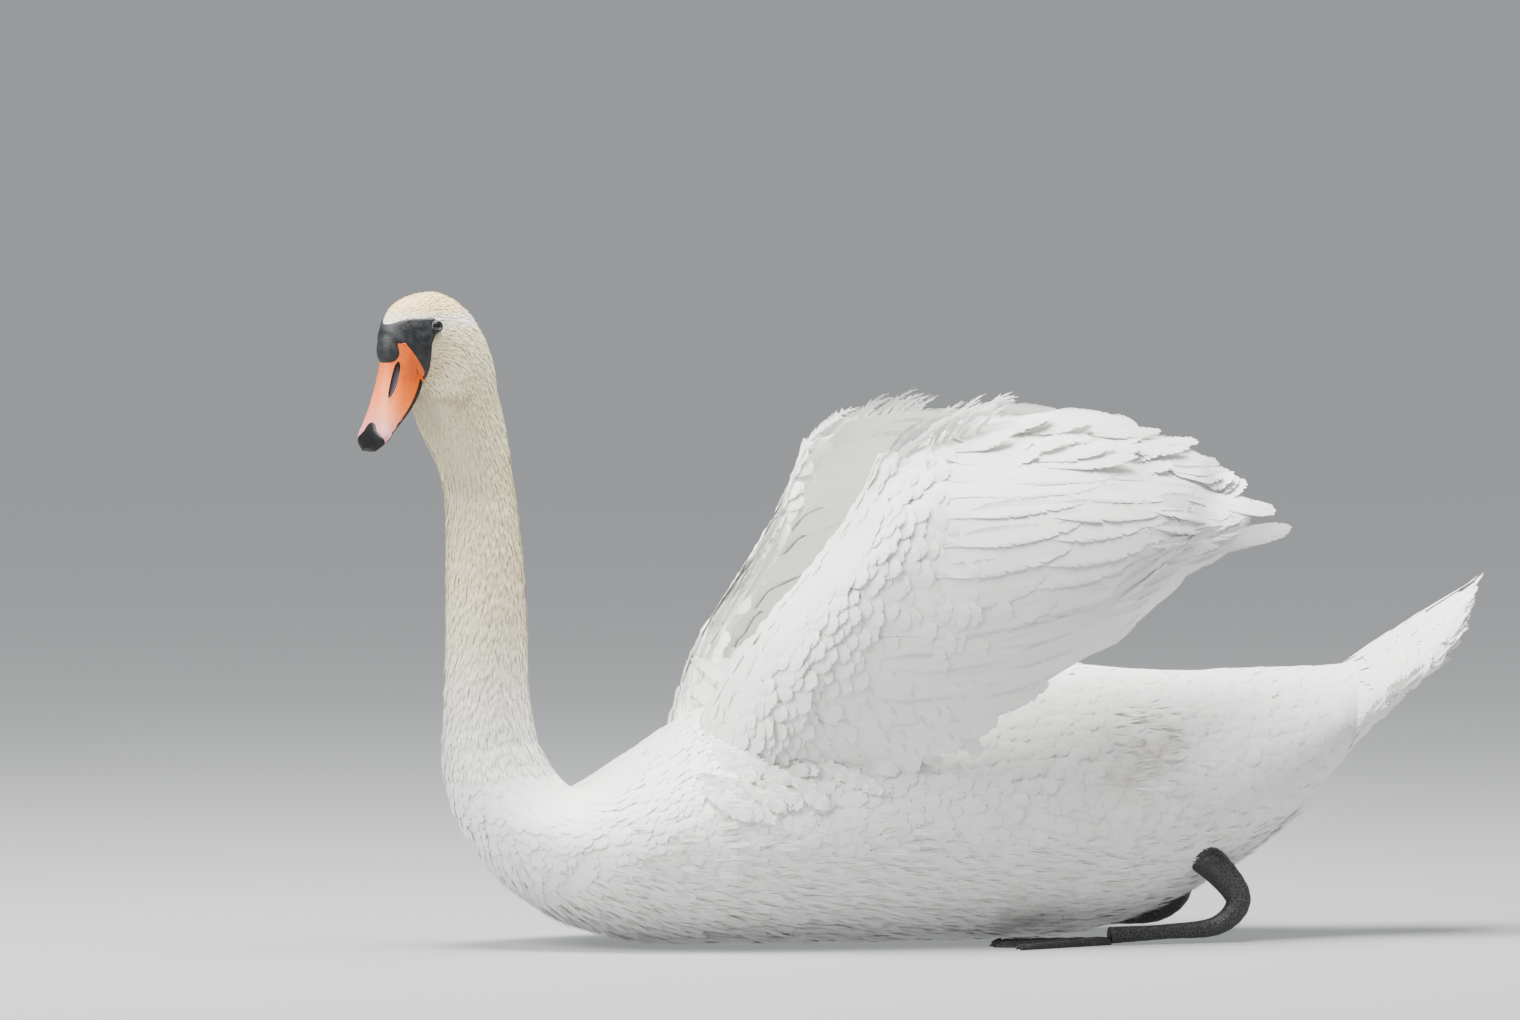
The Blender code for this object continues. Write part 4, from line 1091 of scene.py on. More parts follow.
class Plumage:
    """Gathers long feathers bent along paths into one mesh."""

    def __init__(self):
        self.points, self.faces, self.vane, self.place, self.tint = [], [], [], [], []
        self.count = 0

    def lay(self, path, outward, width, pattern, place, tint):
        """Bend a pattern along a path: along it, across it and off it."""
        points, faces = pattern
        steps = len(path) - 1
        length = np.linalg.norm(np.diff(path, axis=0), axis=1).sum()
        tangent = unit(np.gradient(path, axis=0))
        across = unit(np.cross(outward, tangent))
        x = np.clip(points[:, 0], 0, 1) * steps
        i = np.minimum(x.astype(int), steps - 1)
        f = (x - i)[:, None]
        at = [a[i] * (1 - f) + a[i + 1] * f for a in (path, across, outward, tangent)]
        beyond = (points[:, 0:1] - 1).clip(0) * length
        self.points.append(at[0] + at[1] * points[:, 1:2] * width + at[2] * points[:, 2:3] * width
                           + at[3] * beyond)
        self.faces += [tuple(k + self.count for k in face) for face in faces]
        self.count += len(points)
        self.vane.append(vane_places(points))
        self.place.append(place + vane_places(points) * PATCH)
        self.tint.append(np.full(len(points), tint))

    def piece(self, name, material, mirror=False):
        points = np.concatenate(self.points)
        faces = self.faces
        if mirror:
            points = points * (1, -1, 1)
            faces = [face[::-1] for face in faces]
        made = new_piece(name, points, faces, material)
        set_uv(made.data, "vane", np.concatenate(self.vane))
        set_uv(made.data, "OFBake", np.concatenate(self.place))
        paint(made, {"tint": np.concatenate(self.tint)})
        keep_on_the_floor(made.data)
        return made


def resampled(path, length):
    """The first part of a path, as long as told, in as many steps."""
    run = np.concatenate([[0.0], np.linalg.norm(np.diff(path, axis=0), axis=1).cumsum()])
    at = np.linspace(0, min(length, run[-1]), len(path))
    return np.stack([np.interp(at, run, path[:, k]) for k in range(3)], 1)


def long_feathers(plumage, rng, c, l, inner, depth, length, width, overhang, curl=0.0, **shape):
    """Feathers from roots on a wing face; none runs further past the rim than overhang."""
    c, l = np.asarray(c, float), np.asarray(l, float)
    length = np.minimum(length, reach_to_rim(c, l, inner, float(np.max(length))) + overhang)
    for _ in range(RIM_TRIES):
        paths, outs, inside = trace(c, l, inner, depth, length)
        stride = length / (paths.shape[1] - 1)
        length = np.where(inside.all(1), length,
                          np.minimum(length, stride * inside.sum(1) + overhang))
    bend = np.linspace(0, 1, paths.shape[1])[:, None] ** 2 * curl * UP
    for k in range(len(c)):
        if length[k] < SHORTEST_VANE:
            continue
        place = 0.02 + 0.94 * np.array([np.clip(c[k], 0, 1), l[k]])
        path = resampled(paths[k] + bend, length[k])
        plumage.lay(path, outs[k], width[k], vane(rng, **shape), place, rng.uniform(0, 1))


# rows of long feathers: root column, how many, length, width; front rows lie over rear ones
VANE_ROWS = ((0.04, 15, 0.170, 0.044), (0.13, 15, 0.170, 0.042), (0.24, 15, 0.165, 0.040),
             (0.42, 13, 0.145, 0.036), (0.60, 10, 0.120, 0.028), (0.74, 7, 0.085, 0.020))
VANE_LEVELS, VANE_LIFT = (0.04, 0.955), 0.0004
VANE_SHAPE = dict(barbs=24, web=0.86, rise=0.0, dome=0.012, groups=4, clump=0.10, part=0.05,
                  loose=0.012, tilt=0.016)
COVERT_LENGTH, FORE_SHORTER, COVERT_DEPTH = 0.034, 0.014, 0.0020
NOSE_LENGTH, NOSE_DEPTH, NOSE_START, NOSE_WRAP = 0.021, 0.0022, 0.008, 0.06
NOSE_DROOP = 0.0035, 0.0, -0.002            # its feathers turn a little back and down
PRIMARY_SHAPE = {**VANE_SHAPE, "blunt": 6.0}
PRIMARIES = (0.20, 1.0), (0.80, 0.975)      # level and far end of the two longest
PRIMARY_ROOT, PRIMARY_WIDE, PRIMARY_STEPS, PRIMARY_DEPTH = 0.66, 0.0185, 15, 0.0014
TIP_COUNT = 26
TIP_SHAPE = dict(barbs=16, web=0.74, rise=0.0, dome=0.02, groups=5, clump=0.22, part=0.15,
                 loose=0.03, blunt=2.4)
CREST_COUNT, CREST_STEPS = 34, 12
CREST_SHAPE = dict(barbs=9, web=0.25, rise=0.10, dome=0.0, groups=4, clump=0.45, part=0.75,
                   loose=0.10, blunt=1.6)
DRAPE_ROWS = (0.34, 15), (0.27, 17), (0.20, 19), (0.12, 21), (0.03, 22)   # level, how many
DRAPE_DEPTH, DRAPE_OFF, DRAPE_FALL, DRAPE_STEPS = -0.0002, 0.0022, 0.030, 10
DRAPE_SHAPE = dict(barbs=10, web=0.74, rise=0.02, dome=0.03, groups=4, clump=0.2, part=0.2,
                   loose=0.04)


def drape(rng):
    """Feathers from the wing's lower edge that fall over the body, so that no step shows."""
    sheet = Plumage()
    flank = body(*net((2, 3, 80), (0.5, 1, 60))).reshape(-1, 3)
    for level, count in DRAPE_ROWS:
        for c in np.linspace(0.0, 0.33 - 0.45 * level, count):
            l = np.array([level + rng.uniform(-0.03, 0.03)])
            root, _, _ = wing_frame(np.array([c]), l, False, DRAPE_DEPTH)
            down = rng.uniform(-0.65, -0.35)
            length = rng.uniform(0.036, 0.046) * (1 - 0.9 * c)
            steps = np.linspace(0, length, DRAPE_STEPS)[:, None]
            path = root + unit(np.array([1.0, 0.0, down])) * steps
            gap = np.hypot(path[:, None, 0] - flank[:, 0], path[:, None, 2] - flank[:, 2])
            fall = root[0, 1] - smooth(0.0, 0.045, steps[:, 0]) * DRAPE_FALL
            path[:, 1] = np.maximum(fall, flank[gap.argmin(1), 1] + DRAPE_OFF)
            tangent = unit(np.gradient(path, axis=0))
            aside = unit(np.cross(tangent, [0.0, 1.0, 0.0]))
            sheet.lay(path, unit(np.cross(aside, tangent)), rng.uniform(0.013, 0.018),
                      vane(rng, **DRAPE_SHAPE), (0.05 + 0.9 * c, 0.05 + 0.5 * level), rng.uniform(0, 1))
    return sheet


def flight_vanes(rng, inner):
    """Rows of flight feathers over one face of the wing, and the two longest primaries."""
    sheet = Plumage()
    for row, (start, count, far, wide) in enumerate(VANE_ROWS):
        if row == 0 and not inner:      # coverts lie there
            continue
        l = np.linspace(*VANE_LEVELS, count) + rng.uniform(-0.012, 0.012, count)
        c = start + rng.uniform(-0.012, 0.012, count)
        far = far * rng.uniform(0.92, 1.08, count)
        l = l.clip(0.03, 0.96)
        long_feathers(sheet, rng, c, l, inner, VANE_LIFT + VANE_LIFT * row, far,
                      wide * rng.uniform(0.92, 1.08, count),
                      0.003 - 0.013 * smooth(0.70, 0.86, l), **VANE_SHAPE)
    for level, far in PRIMARIES:
        path, outward, _ = wing_frame(np.linspace(PRIMARY_ROOT, far, PRIMARY_STEPS),
                                      np.full(PRIMARY_STEPS, level), inner, PRIMARY_DEPTH)
        sheet.lay(path, outward, PRIMARY_WIDE, vane(rng, **PRIMARY_SHAPE), (PRIMARY_ROOT, level), 0.3)
    return sheet


def arm_coverts(hand, side, face, inner):
    """Short overlapping feathers over the arm, in front of the flight feathers."""
    c, l = net((0.0, 0.62, 70), (0.0, 1.0, 80))
    points, outward, lie = wing_frame(c, l, inner, COVERT_DEPTH)
    fore = smooth(0.30, 0.02, c)
    reach = 0.12 if inner else 0.29 - 0.14 * smooth(0.35, 0.8, l)
    share = smooth(reach, reach - 0.05, c) * (0.40 + 0.60 * fore) * smooth(0.95, 0.90, l)
    return coat(f"wing_{hand}_coverts_{face}", points, lie, outward, share,
                COVERT_LENGTH - FORE_SHORTER * fore, side)


def dress_nose(hand, side):
    """Small feathers down the rounded leading edge, from the outer face over to the inner."""
    l, w = net((0.01, 0.95, 90), (-0.25, 1.25, 18))

    def strip(l, w):
        c = NOSE_START + NOSE_WRAP * (np.maximum(-w, 0) + np.maximum(w - 1, 0))
        across = w.clip(0, 1)[..., None]
        return wing(c, l, NOSE_DEPTH) * (1 - across) + wing_inner(c, l, NOSE_DEPTH) * across

    points = strip(l, w)
    outward = normals_of(strip, l, w.clip(-0.24, 1.24))
    outward = outward * np.sign((outward[:, 9] * (-1.0, 0.0, 0.2)).sum())      # forward and up
    lie = unit(strip(l + 0.01, w) - strip(l - 0.01, w) + NOSE_DROOP)
    return coat(f"wing_{hand}_nose", points, lie, outward, smooth(0.95, 0.88, l), NOSE_LENGTH, side)


def tertial_tips(rng):
    """Loose tips that stand a little over the wing's top rim."""
    edge = Plumage()
    for inner in (False, True):
        c = np.linspace(0.14, 0.80, TIP_COUNT) + rng.uniform(-0.012, 0.012, TIP_COUNT)
        long_feathers(edge, rng, c, rng.uniform(0.82, 0.95, TIP_COUNT), inner, 0.0004,
                      rng.uniform(0.060, 0.100, TIP_COUNT), rng.uniform(0.013, 0.020, TIP_COUNT),
                      rng.uniform(0.002, 0.013, TIP_COUNT), 0.013, **TIP_SHAPE)
    return edge


def wrist_crest(rng):
    """Thin shreds that stand up along the front of the top rim and bend back."""
    crest = Plumage()
    for c in np.linspace(0.0, 0.19, CREST_COUNT):
        root, outward, _ = wing_frame(np.array([c + rng.uniform(0.0, 0.008)]),
                                      np.array([rng.uniform(0.93, 0.985)]), False, 0.0008)
        turn = np.linspace(rng.uniform(58, 78), rng.uniform(4, 28), CREST_STEPS)
        turn = np.radians(turn)[:, None]
        way = np.hstack([np.cos(turn), 0 * turn, np.sin(turn)])
        path = root + np.cumsum(way, 0) * rng.uniform(0.030, 0.052) / CREST_STEPS - way[0] * 0.008
        crest.lay(path, np.repeat(outward, CREST_STEPS, 0), rng.uniform(0.0050, 0.0085),
                  vane(rng, **CREST_SHAPE), (0.02 + 0.9 * c, 0.96), rng.uniform(0, 1))
    return crest


def dress_wing(hand, side):
    """Flight feathers and coverts on both faces, the leading edge, and the loose feathers."""
    made, mirror = [], side < 0
    rng = np.random.RandomState(7 if mirror else 8)
    for face, inner in (("outer", False), ("inner", True)):
        vanes = flight_vanes(rng, inner)
        made.append(vanes.piece(f"wing_{hand}_vanes_{face}", flight_feather, mirror))
        made.append(arm_coverts(hand, side, face, inner))
    made.append(dress_nose(hand, side))
    for name, sheet, material in (("tertial_tips", tertial_tips, flight_feather),
                                  ("crest", wrist_crest, flight_feather),
                                  ("drape", drape, body_feather)):
        made.append(sheet(rng).piece(f"wing_{hand}_{name}", material, mirror))
    return made


# =============================================================== tail
TAIL_QUILLS, QUILL_STEPS, QUILL_WIDE = 12, 12, 0.0165
QUILL_ROOTS = 0.46, 0.22        # the long row, and the shorter one over it
QUILL_SPLAY = np.array([-0.006, 0.0, -0.016])       # outer quills droop and lag
QUILL_SHAPE = dict(barbs=22, web=0.80, rise=0.0, dome=0.03, groups=4, clump=0.28, part=0.15,
                   loose=0.03, blunt=1.05, tilt=0.05)
QUILL_TAPER, QUILL_ROW_STEP = 0.30, 0.13            # outer quills and the upper row are shorter
QUILL_GATHER, QUILL_SPREAD = 0.80, 0.6              # together at the root, spread at the tip
TAIL_COVERT_DEPTH, TAIL_COVERT_LENGTH = 0.0026, 0.028


def tail_quills(rng):
    """A fan of pointed quills, two rows above and two below."""
    fan = Plumage()
    t = np.linspace(0, 1, QUILL_STEPS)
    for under in (False, True):
        for row, start in enumerate(QUILL_ROOTS):
            for k in range(TAIL_QUILLS):
                f = (k + 0.5) / TAIL_QUILLS * 2 - 1
                end = 1.0 - QUILL_TAPER * abs(f) ** 1.6 - QUILL_ROW_STEP * row
                s = start + (end - start) * t
                near, far = QUILL_GATHER * abs(f), abs(f) ** QUILL_SPREAD
                spread = 0.25 * np.sign(f) * (near + (far - near) * t)
                v = (0.5 - spread) if under else spread % 1.0
                path = tail(s, v, 0.0012 - 0.0006 * row)
                splay = QUILL_SPLAY * abs(f) ** 1.5 * rng.uniform(0.5, 1.2)
                beyond = (rng.uniform(0.004, 0.016) * t ** 4)[:, None]
                path = path + unit(path[-1] - path[-3]) * beyond + splay * (t ** 3)[:, None]
                across = tail(s, v + 0.004) - tail(s, v - 0.004)
                outward = unit(np.cross(across, np.gradient(path, axis=0)))
                outward = outward * np.sign(outward[:, 2:3]) * (-1 if under else 1)
                fan.lay(path, outward, QUILL_WIDE * rng.uniform(0.92, 1.08),
                        vane(rng, **QUILL_SHAPE),
                        (0.03 + 0.9 * k / TAIL_QUILLS, 0.1 + 0.4 * row + 0.2 * under),
                        rng.uniform(0, 1))
    return fan


def dress_tail():
    quills = tail_quills(np.random.RandomState(31)).piece("tail_feathers", flight_feather)
    s, v = net((0, 0.50, 50), (0, 1, 90))
    points = tail(s, v, TAIL_COVERT_DEPTH)
    outward = normals_of(lambda a, b: tail(a, b, TAIL_COVERT_DEPTH), s, v)
    lie = unit(tail(s + 0.02, v, TAIL_COVERT_DEPTH) - tail(s - 0.02, v, TAIL_COVERT_DEPTH))
    share = smooth(0.50, 0.36, s) * smooth(0.01, 0.09, s)
    return [quills, coat("tail_coverts", points, lie, outward, share, TAIL_COVERT_LENGTH)]


# =============================================================== bill, knob and bare face
BILL_SKIRT = 0.0035      # how far the sheath runs back under the face's skin
TUCK_SHRINK, TUCK_BACK = 0.85, 0.008    # its closed end, smaller and further back
BILL_ROOT_SHARE = 0.22   # over this share of its length the bill takes on the face's slice
NOSTRIL_ALONG, NOSTRIL_ACROSS = 0.31, 0.26       # place on the bill, root to tip and edge to edge
NOSTRIL_LONG, NOSTRIL_WIDE, NOSTRIL_DEEP = 0.155, 0.048, 0.0026
NOSTRIL_SLANT, NOSTRIL_RIM = 0.16, 0.0004
NAIL_SHAPE = ((0.64, -0.10), (0.685, 0.0), (0.70, 0.065), (0.73, 0.10), (0.79, 0.135),
              (0.83, 0.22), (0.87, 0.42), (0.92, 0.6), (1.0, 0.6))    # along the bill, half width
NAIL_PROUD, LIP_PROUD = 0.0008, 0.0005
BILL_WARMTH = (0, 0.2, 0.45, 0.62, 0.80), (0.10, 0.30, 0.52, 0.74, 0.97)   # along it: orange to pink
GAPE_WARMTH = 0.06
LIP_BLACK = 0.017           # width of the black edge, as a share of the way across
JAW_INSIDE, JAW_GAP = 0.88, 0.0003


def bill(s, t):
    """Upper bill: s from root to tip, t across from the bird's left edge to its right."""
    numbers, turn = through(BILL_ROWS, s), np.pi * t
    up = np.maximum(np.sin(turn), 0.0) ** 0.8
    pinch = BILL_PINCH * np.maximum(0.0, 1.0 - s / BILL_PINCH_SHARE)
    side = numbers[..., 4] * np.cos(turn) * (1.0 - pinch * up)
    high = 2 * up - 1
    face = np.sqrt(np.maximum(1 - high ** 2, 0)) ** (1 - CHEEK * np.clip(-high / CHEEK_RISE, 0, 1))
    wide = HEAD_ROWS[-1, 4] + 0.0010 - 0.0016 * smooth(0.55, 0.8, up)
    face = wide * face * (1 - HEAD_KEEL * high) * np.sign(np.cos(turn))
    root = smooth(BILL_ROOT_SHARE, 0.0, s) * smooth(0.08, 0.26, up)
    side = side + (face - side) * root
    rise = numbers[..., 2:4] + (numbers[..., 0:2] - numbers[..., 2:4]) * up[..., None]
    return head_place(rise[..., 0], side, rise[..., 1])


def bill_out(s, t):
    """Directions off the bill's upper side, all of them forward."""
    out = normals_of(bill, s, t.clip(0.004, 0.996))
    return out * np.sign((out * LOOK).sum(-1, keepdims=True) + 1e-9)


def nostril_pit(s, t):
    """1 in the middle of either nostril, 0 at its rim and beyond."""
    across = np.minimum(t, 1 - t) - NOSTRIL_ACROSS - NOSTRIL_SLANT * (s - NOSTRIL_ALONG)
    off = ((s - NOSTRIL_ALONG) / NOSTRIL_LONG) ** 2 + (across / NOSTRIL_WIDE) ** 2
    return np.clip(1.0 - off, -1.0, 1.0)


def build_bill():
    """The sheath with its nostrils, nail and lips, closed below and tucked into the face."""
    columns = 101
    s, t = net((0, 1, 110), (0, 1, columns))
    points = bill(s, t)
    pit, edge = nostril_pit(s, t), np.minimum(t, 1 - t)
    nail = np.interp(s, *zip(*NAIL_SHAPE)) - np.abs(t - 0.5)
    shape = (-NOSTRIL_DEEP * smooth(0.0, 0.55, pit) + NOSTRIL_RIM * smooth(-0.6, -0.05, pit)
             + NAIL_PROUD * smooth(0.0, 0.05, nail) + LIP_PROUD * smooth(0.07, 0.02, edge))
    top = points + bill_out(s, t) * shape[..., None]
    under = top[:, :1] + (top[:, -1:] - top[:, :1]) * np.linspace(0, 1, 21)[None, 1:-1, None]
    rings = np.concatenate([top, under[:, ::-1]], 1)
    middle = rings[:1].mean(1, keepdims=True)
    tucked = middle + (rings[:1] - middle) * TUCK_SHRINK - LOOK * TUCK_BACK
    back = np.zeros(rings.shape[1])
    back[:columns] = BILL_SKIRT * smooth(0.04, 0.14, edge[0])
    rings = np.concatenate([tucked, rings[:1] - LOOK * back[:, None], rings])
    piece = tube("bill_sheath", rings, bill_horn)
    black, warm, hollow = (np.full(rings.shape[:2], start) for start in (1.0, GAPE_WARMTH, 0.0))
    black[2:, :columns] = np.maximum.reduce([
        0.5 + (LIP_BLACK - edge) * 24 * smooth(0.99, 0.9, s) - smooth(0.02, 0.0, s),
        0.5 + nail * 14, 0.5 + (pit - 0.03) * 1.8,
        0.5 + (points[..., 2] - ORANGE_BACK[-1][0]) * 400]).clip(0, 1)
    black[:2] = black[2]
    warm[2:, :columns] = (np.interp(s, *BILL_WARMTH)
                          - 0.26 * smooth(0.34, 0.10, edge) * smooth(0.6, 0.2, s))
    hollow[2:, :columns] = smooth(0.30, 0.55, pit)
    paint(piece, {"black": black.ravel(), "warmth": warm.ravel(), "hollow": hollow.ravel()})
    return piece


def build_jaw():
    """The lower bill: a shallow trough just inside the sheath's edges."""
    rings = []
    turn = np.linspace(0, np.pi, 30)
    for row in through(BILL_ROWS, np.linspace(0, 1, 50)):
        down = unit(row[2:4] - row[0:2])
        drop = JAW_GAP + row[5] * np.maximum(np.sin(turn), 0.0) ** 0.7
        rings.append(head_place(row[2] + down[0] * drop, row[4] * JAW_INSIDE * np.cos(turn),
                                row[3] + down[1] * drop))
    return tube("bill_jaw", np.array(rings), face_skin)


KNOB_NECK, KNOB_DROOP = 1.12, 1.20       # drawn up into the forehead, and hanging over the bill
KNOB_SPREAD = 0.12                       # wider where it hangs
KNOB_BED, KNOB_BED_RISE = 0.021, 0.003   # reach of the skin it melts into, and its middle
KNOB_PROUD, KNOB_EDGE = 0.0007, 0.0006   # that skin stands off the face, and stops in its outline
HORN_WALL, MELT_VOXEL, MELT_SMOOTHING = 0.0026, 0.0006, 40


def knob_ball():
    """The knob alone: an egg that leans, drawn out above and below."""
    a, b = np.meshgrid(np.linspace(0, np.pi, 50)[1:-1], np.arange(72) / 72 * 2 * np.pi,
                       indexing="ij")
    forward, side, rise = (value * size for value, size in zip(
        (np.sin(a) * np.cos(b), np.sin(a) * np.sin(b), np.cos(a)), KNOB_SIZE))
    rise = rise * np.where(rise > 0, KNOB_NECK, KNOB_DROOP)
    side = side * (1.0 + KNOB_SPREAD * smooth(0.0, -0.012, rise))
    ahead = forward * math.cos(KNOB_LEAN) - rise * math.sin(KNOB_LEAN)
    above = forward * math.sin(KNOB_LEAN) + rise * math.cos(KNOB_LEAN)
    return tube("knob", head_place(KNOB_CENTRE[0] + ahead, side, KNOB_CENTRE[1] + above), face_skin)


def build_knob():
    """The knob melted into the skin of the face and the root of the bill."""
    middle = head_place(*np.array([KNOB_CENTRE[0], 0.0, KNOB_CENTRE[1] + KNOB_BED_RISE]))

    def near(points):
        return KNOB_BED - np.linalg.norm(points - middle, axis=-1)

    bed = face_patch("bed", lambda points: np.minimum(near(points), bare(points) - KNOB_EDGE),
                     KNOB_PROUD, 90, 181, face_skin)
    s, t = net((0, 0.2, 30), (0.1, 0.9, 60))
    root = bill(s, t) + bill_out(s, t) * KNOB_PROUD
    shown = np.minimum(near(root), root[..., 2] - ORANGE_BACK[-1][0]).ravel()
    horn = new_piece("horn", root, [face for face in grid_faces(*root.shape[:2])
                                    if min(shown[k] for k in face) > 0], face_skin)
    face_outwards(horn)
    wall = horn.modifiers.new("wall", "SOLIDIFY")
    wall.thickness, wall.offset = HORN_WALL, -1.0
    knob = into_one("bill_knob_skin", knob_ball(), bed, apply_modifiers(horn))
    melt = knob.modifiers.new("melt", "REMESH")
    melt.mode, melt.voxel_size, melt.use_smooth_shade = "VOXEL", MELT_VOXEL, True
    soften = knob.modifiers.new("soften", "SMOOTH")
    soften.factor, soften.iterations = 0.5, MELT_SMOOTHING
    return apply_modifiers(knob)


def face_patch(name, within, proud, rows, columns, material):
    """A patch of the face's own shape whose outline is where it dives under the rest."""
    u, v = net((0, PATCH_REACH, rows), (0, 1, columns))
    inside = within(body(u, v))
    points = body(u, v, np.clip(-inside * SINK, 0.0, SINK_MOST) - proud)
    flat = inside.ravel()
    keep = [face for face in grid_faces(rows, columns)
            if max(flat[k] for k in face) > -SINK_MOST / SINK]
    piece = new_piece(name, points, keep, material)
    mesh = bmesh.new()
    mesh.from_mesh(piece.data)
    bmesh.ops.delete(mesh, geom=[p for p in mesh.verts if not p.link_faces], context="VERTS")
    bmesh.ops.remove_doubles(mesh, verts=mesh.verts, dist=1e-6)
    bmesh.ops.recalc_face_normals(mesh, faces=mesh.faces)
    mesh.to_mesh(piece.data)
    mesh.free()
    thick = piece.modifiers.new("skin", "SOLIDIFY")
    thick.thickness, thick.offset = PATCH_WALL, -1.0
    return apply_modifiers(piece)


def build_gape():
    """The orange that runs back over the black face to the gape."""
    gape = face_patch("orange_gape", orange_gape, GAPE_PROUD, 110, 261, bill_horn)
    paint(gape, {"black": [0.0], "warmth": [GAPE_WARMTH], "hollow": [0.0]})
    return gape


# =============================================================== eyes
EYE_SHOWN = 0.0052       # radius of the eyeball that shows
EYE_SUNK = 0.0006
EYE_AHEAD, EYE_RAISED = 0.10, 0.04      # how far its gaze leans forward and up
CORNEA_BULGE = 0.05
LID_OPENING, LID_REACH = 0.78, 1.25     # angles from the eye's axis
LID_THICK, LID_GAP = 0.0007, 0.00006


def around_eye(side, radius, theta, phi):
    """Points on a ball round an eye: theta from its outward axis, phi round it."""
    axis = unit(LEFT * side + LOOK * EYE_AHEAD + UP * EYE_RAISED)
    ahead = unit(LOOK - axis * (LOOK @ axis))
    top = np.cross(axis, ahead) * side
    centre = head_place(EYE_FORWARD, side * EYE_SIDE, EYE_HEIGHT) - axis * EYE_SUNK
    return (centre + axis * (radius * np.cos(theta))[..., None]
            + ahead * (radius * np.sin(theta) * np.cos(phi))[..., None]
            + top * (radius * np.sin(theta) * np.sin(phi))[..., None])


def build_eyeball(hand, side):
    theta, phi = np.meshgrid(np.linspace(0.02, np.pi - 0.02, 48), np.arange(64) / 64 * 2 * np.pi,
                             indexing="ij")
    bulge = EYE_SHOWN * (1 + CORNEA_BULGE * smooth(0.6, 0.0, theta))
    ball = tube(f"eyeball_{hand}", around_eye(side, bulge, theta, phi), eye_wet)
    paint(ball, {"iris": theta.clip(0, 1).ravel()})
    return ball


def build_eyelid(hand, side):
    """A swollen ring round the opening, a little longer than high."""
    phi, share = net((0, 2 * np.pi, 73), (0, 1, 12))
    opening = LID_OPENING + 0.10 * np.cos(2 * phi) + 0.03 * np.cos(phi) - 0.03 * np.sin(phi)
    theta = opening + (LID_REACH - opening) * share
    swell = LID_THICK * np.sin(np.pi * np.minimum(share * 2.2 + 0.12, 1.0)) + 0.0003
    return shell(f"eyelid_{hand}", around_eye(side, EYE_SHOWN + swell, theta, phi),
                 around_eye(side, EYE_SHOWN + LID_GAP, theta, phi), lid_skin)


# =============================================================== legs and feet
LEG_INSIDE, SCUTE_RISE, SCUTE_TURNS = 0.985, 0.035, 60
TOE_PLACE = 0.93         # outer and inner toe, as a share of the web's spread
TOES = (-1.0, 0.93), (0.0, 1.0), (1.0, 1.0)     # which way, and how far it reaches
CLAW_LENGTH, CLAW_THICK, CLAW_HEIGHT, CLAW_DROP = 0.0085, 0.0021, 0.0032, 0.0020


def build_leg(hand, side):
    rows, around = 90, 28
    share = np.linspace(0, 1, rows)
    numbers = through(np.array(LEG_PATH), share)
    centre, radius = numbers[:, :3], numbers[:, 3]
    along = unit(np.gradient(centre, axis=0))
    across = unit(np.cross([0, 1, 0], along))
    third = np.cross(along, across)
    turn = np.arange(around) / around * 2 * np.pi
    ridges = np.abs(np.sin(share * SCUTE_TURNS))[:, None] * (0.6 + 0.4 * np.cos(turn))
    scutes = 1.0 + SCUTE_RISE * ridges
    ring = (centre[:, None] + (across[:, None] * np.cos(turn)[None, :, None]
                               + third[:, None] * np.sin(turn)[None, :, None])
            * (radius[:, None] * scutes * LEG_INSIDE)[..., None])
    ring[..., 2] = np.maximum(ring[..., 2], 2 * OFF_THE_FLOOR)
    return tube(f"leg_{hand}_skin", ring * (1, side, 1), leg_skin)


def build_foot(hand, side):
    """Three scaled toes with a scalloped web between them."""
    i, k = net((-1, 1, 97), (0, 1, 40))
    turn, reach = FOOT_SPREAD * i, 0.07 + 0.93 * k
    scallop = 0.90 + 0.10 * np.cos(i * 2 * np.pi)
    outer = 1.0 - 0.07 * smooth(-0.5, -0.7, i)
    distance = FOOT_LENGTH * reach * (1 + (scallop * outer - 1) * reach)
    x = FOOT_HEEL[0] - distance * np.cos(turn + FOOT_TOE_OUT)
    y = side * (FOOT_HEEL[1] + distance * np.sin(turn + FOOT_TOE_OUT))
    lift = np.full_like(x, WEB_HEIGHT * 0.7)
    scutes = 0.94 + 0.06 * np.abs(np.sin(reach * 70))
    knuckle = 1.0 + 0.12 * np.cos(reach * 20) ** 2
    for toe, _ in TOES:
        off = (turn - toe * FOOT_SPREAD * TOE_PLACE) * np.maximum(reach, 0.25)
        bump = np.exp(-(off / 0.075) ** 2) * (1.1 - 0.45 * reach)
        lift = np.maximum(lift, WEB_HEIGHT * 0.7 + (TOE_HEIGHT - WEB_HEIGHT) * bump * scutes * knuckle)
    lift = lift * (1 - 0.4 * smooth(0.9, 1.0, k)) + 0.0002 * np.sin(reach * 130) * (lift < 0.003)
    top, sole = np.stack([x, y, lift], -1), np.stack([x, y, 0 * x + OFF_THE_FLOOR], -1)
    return shell(f"foot_{hand}_skin", top, sole, leg_skin)


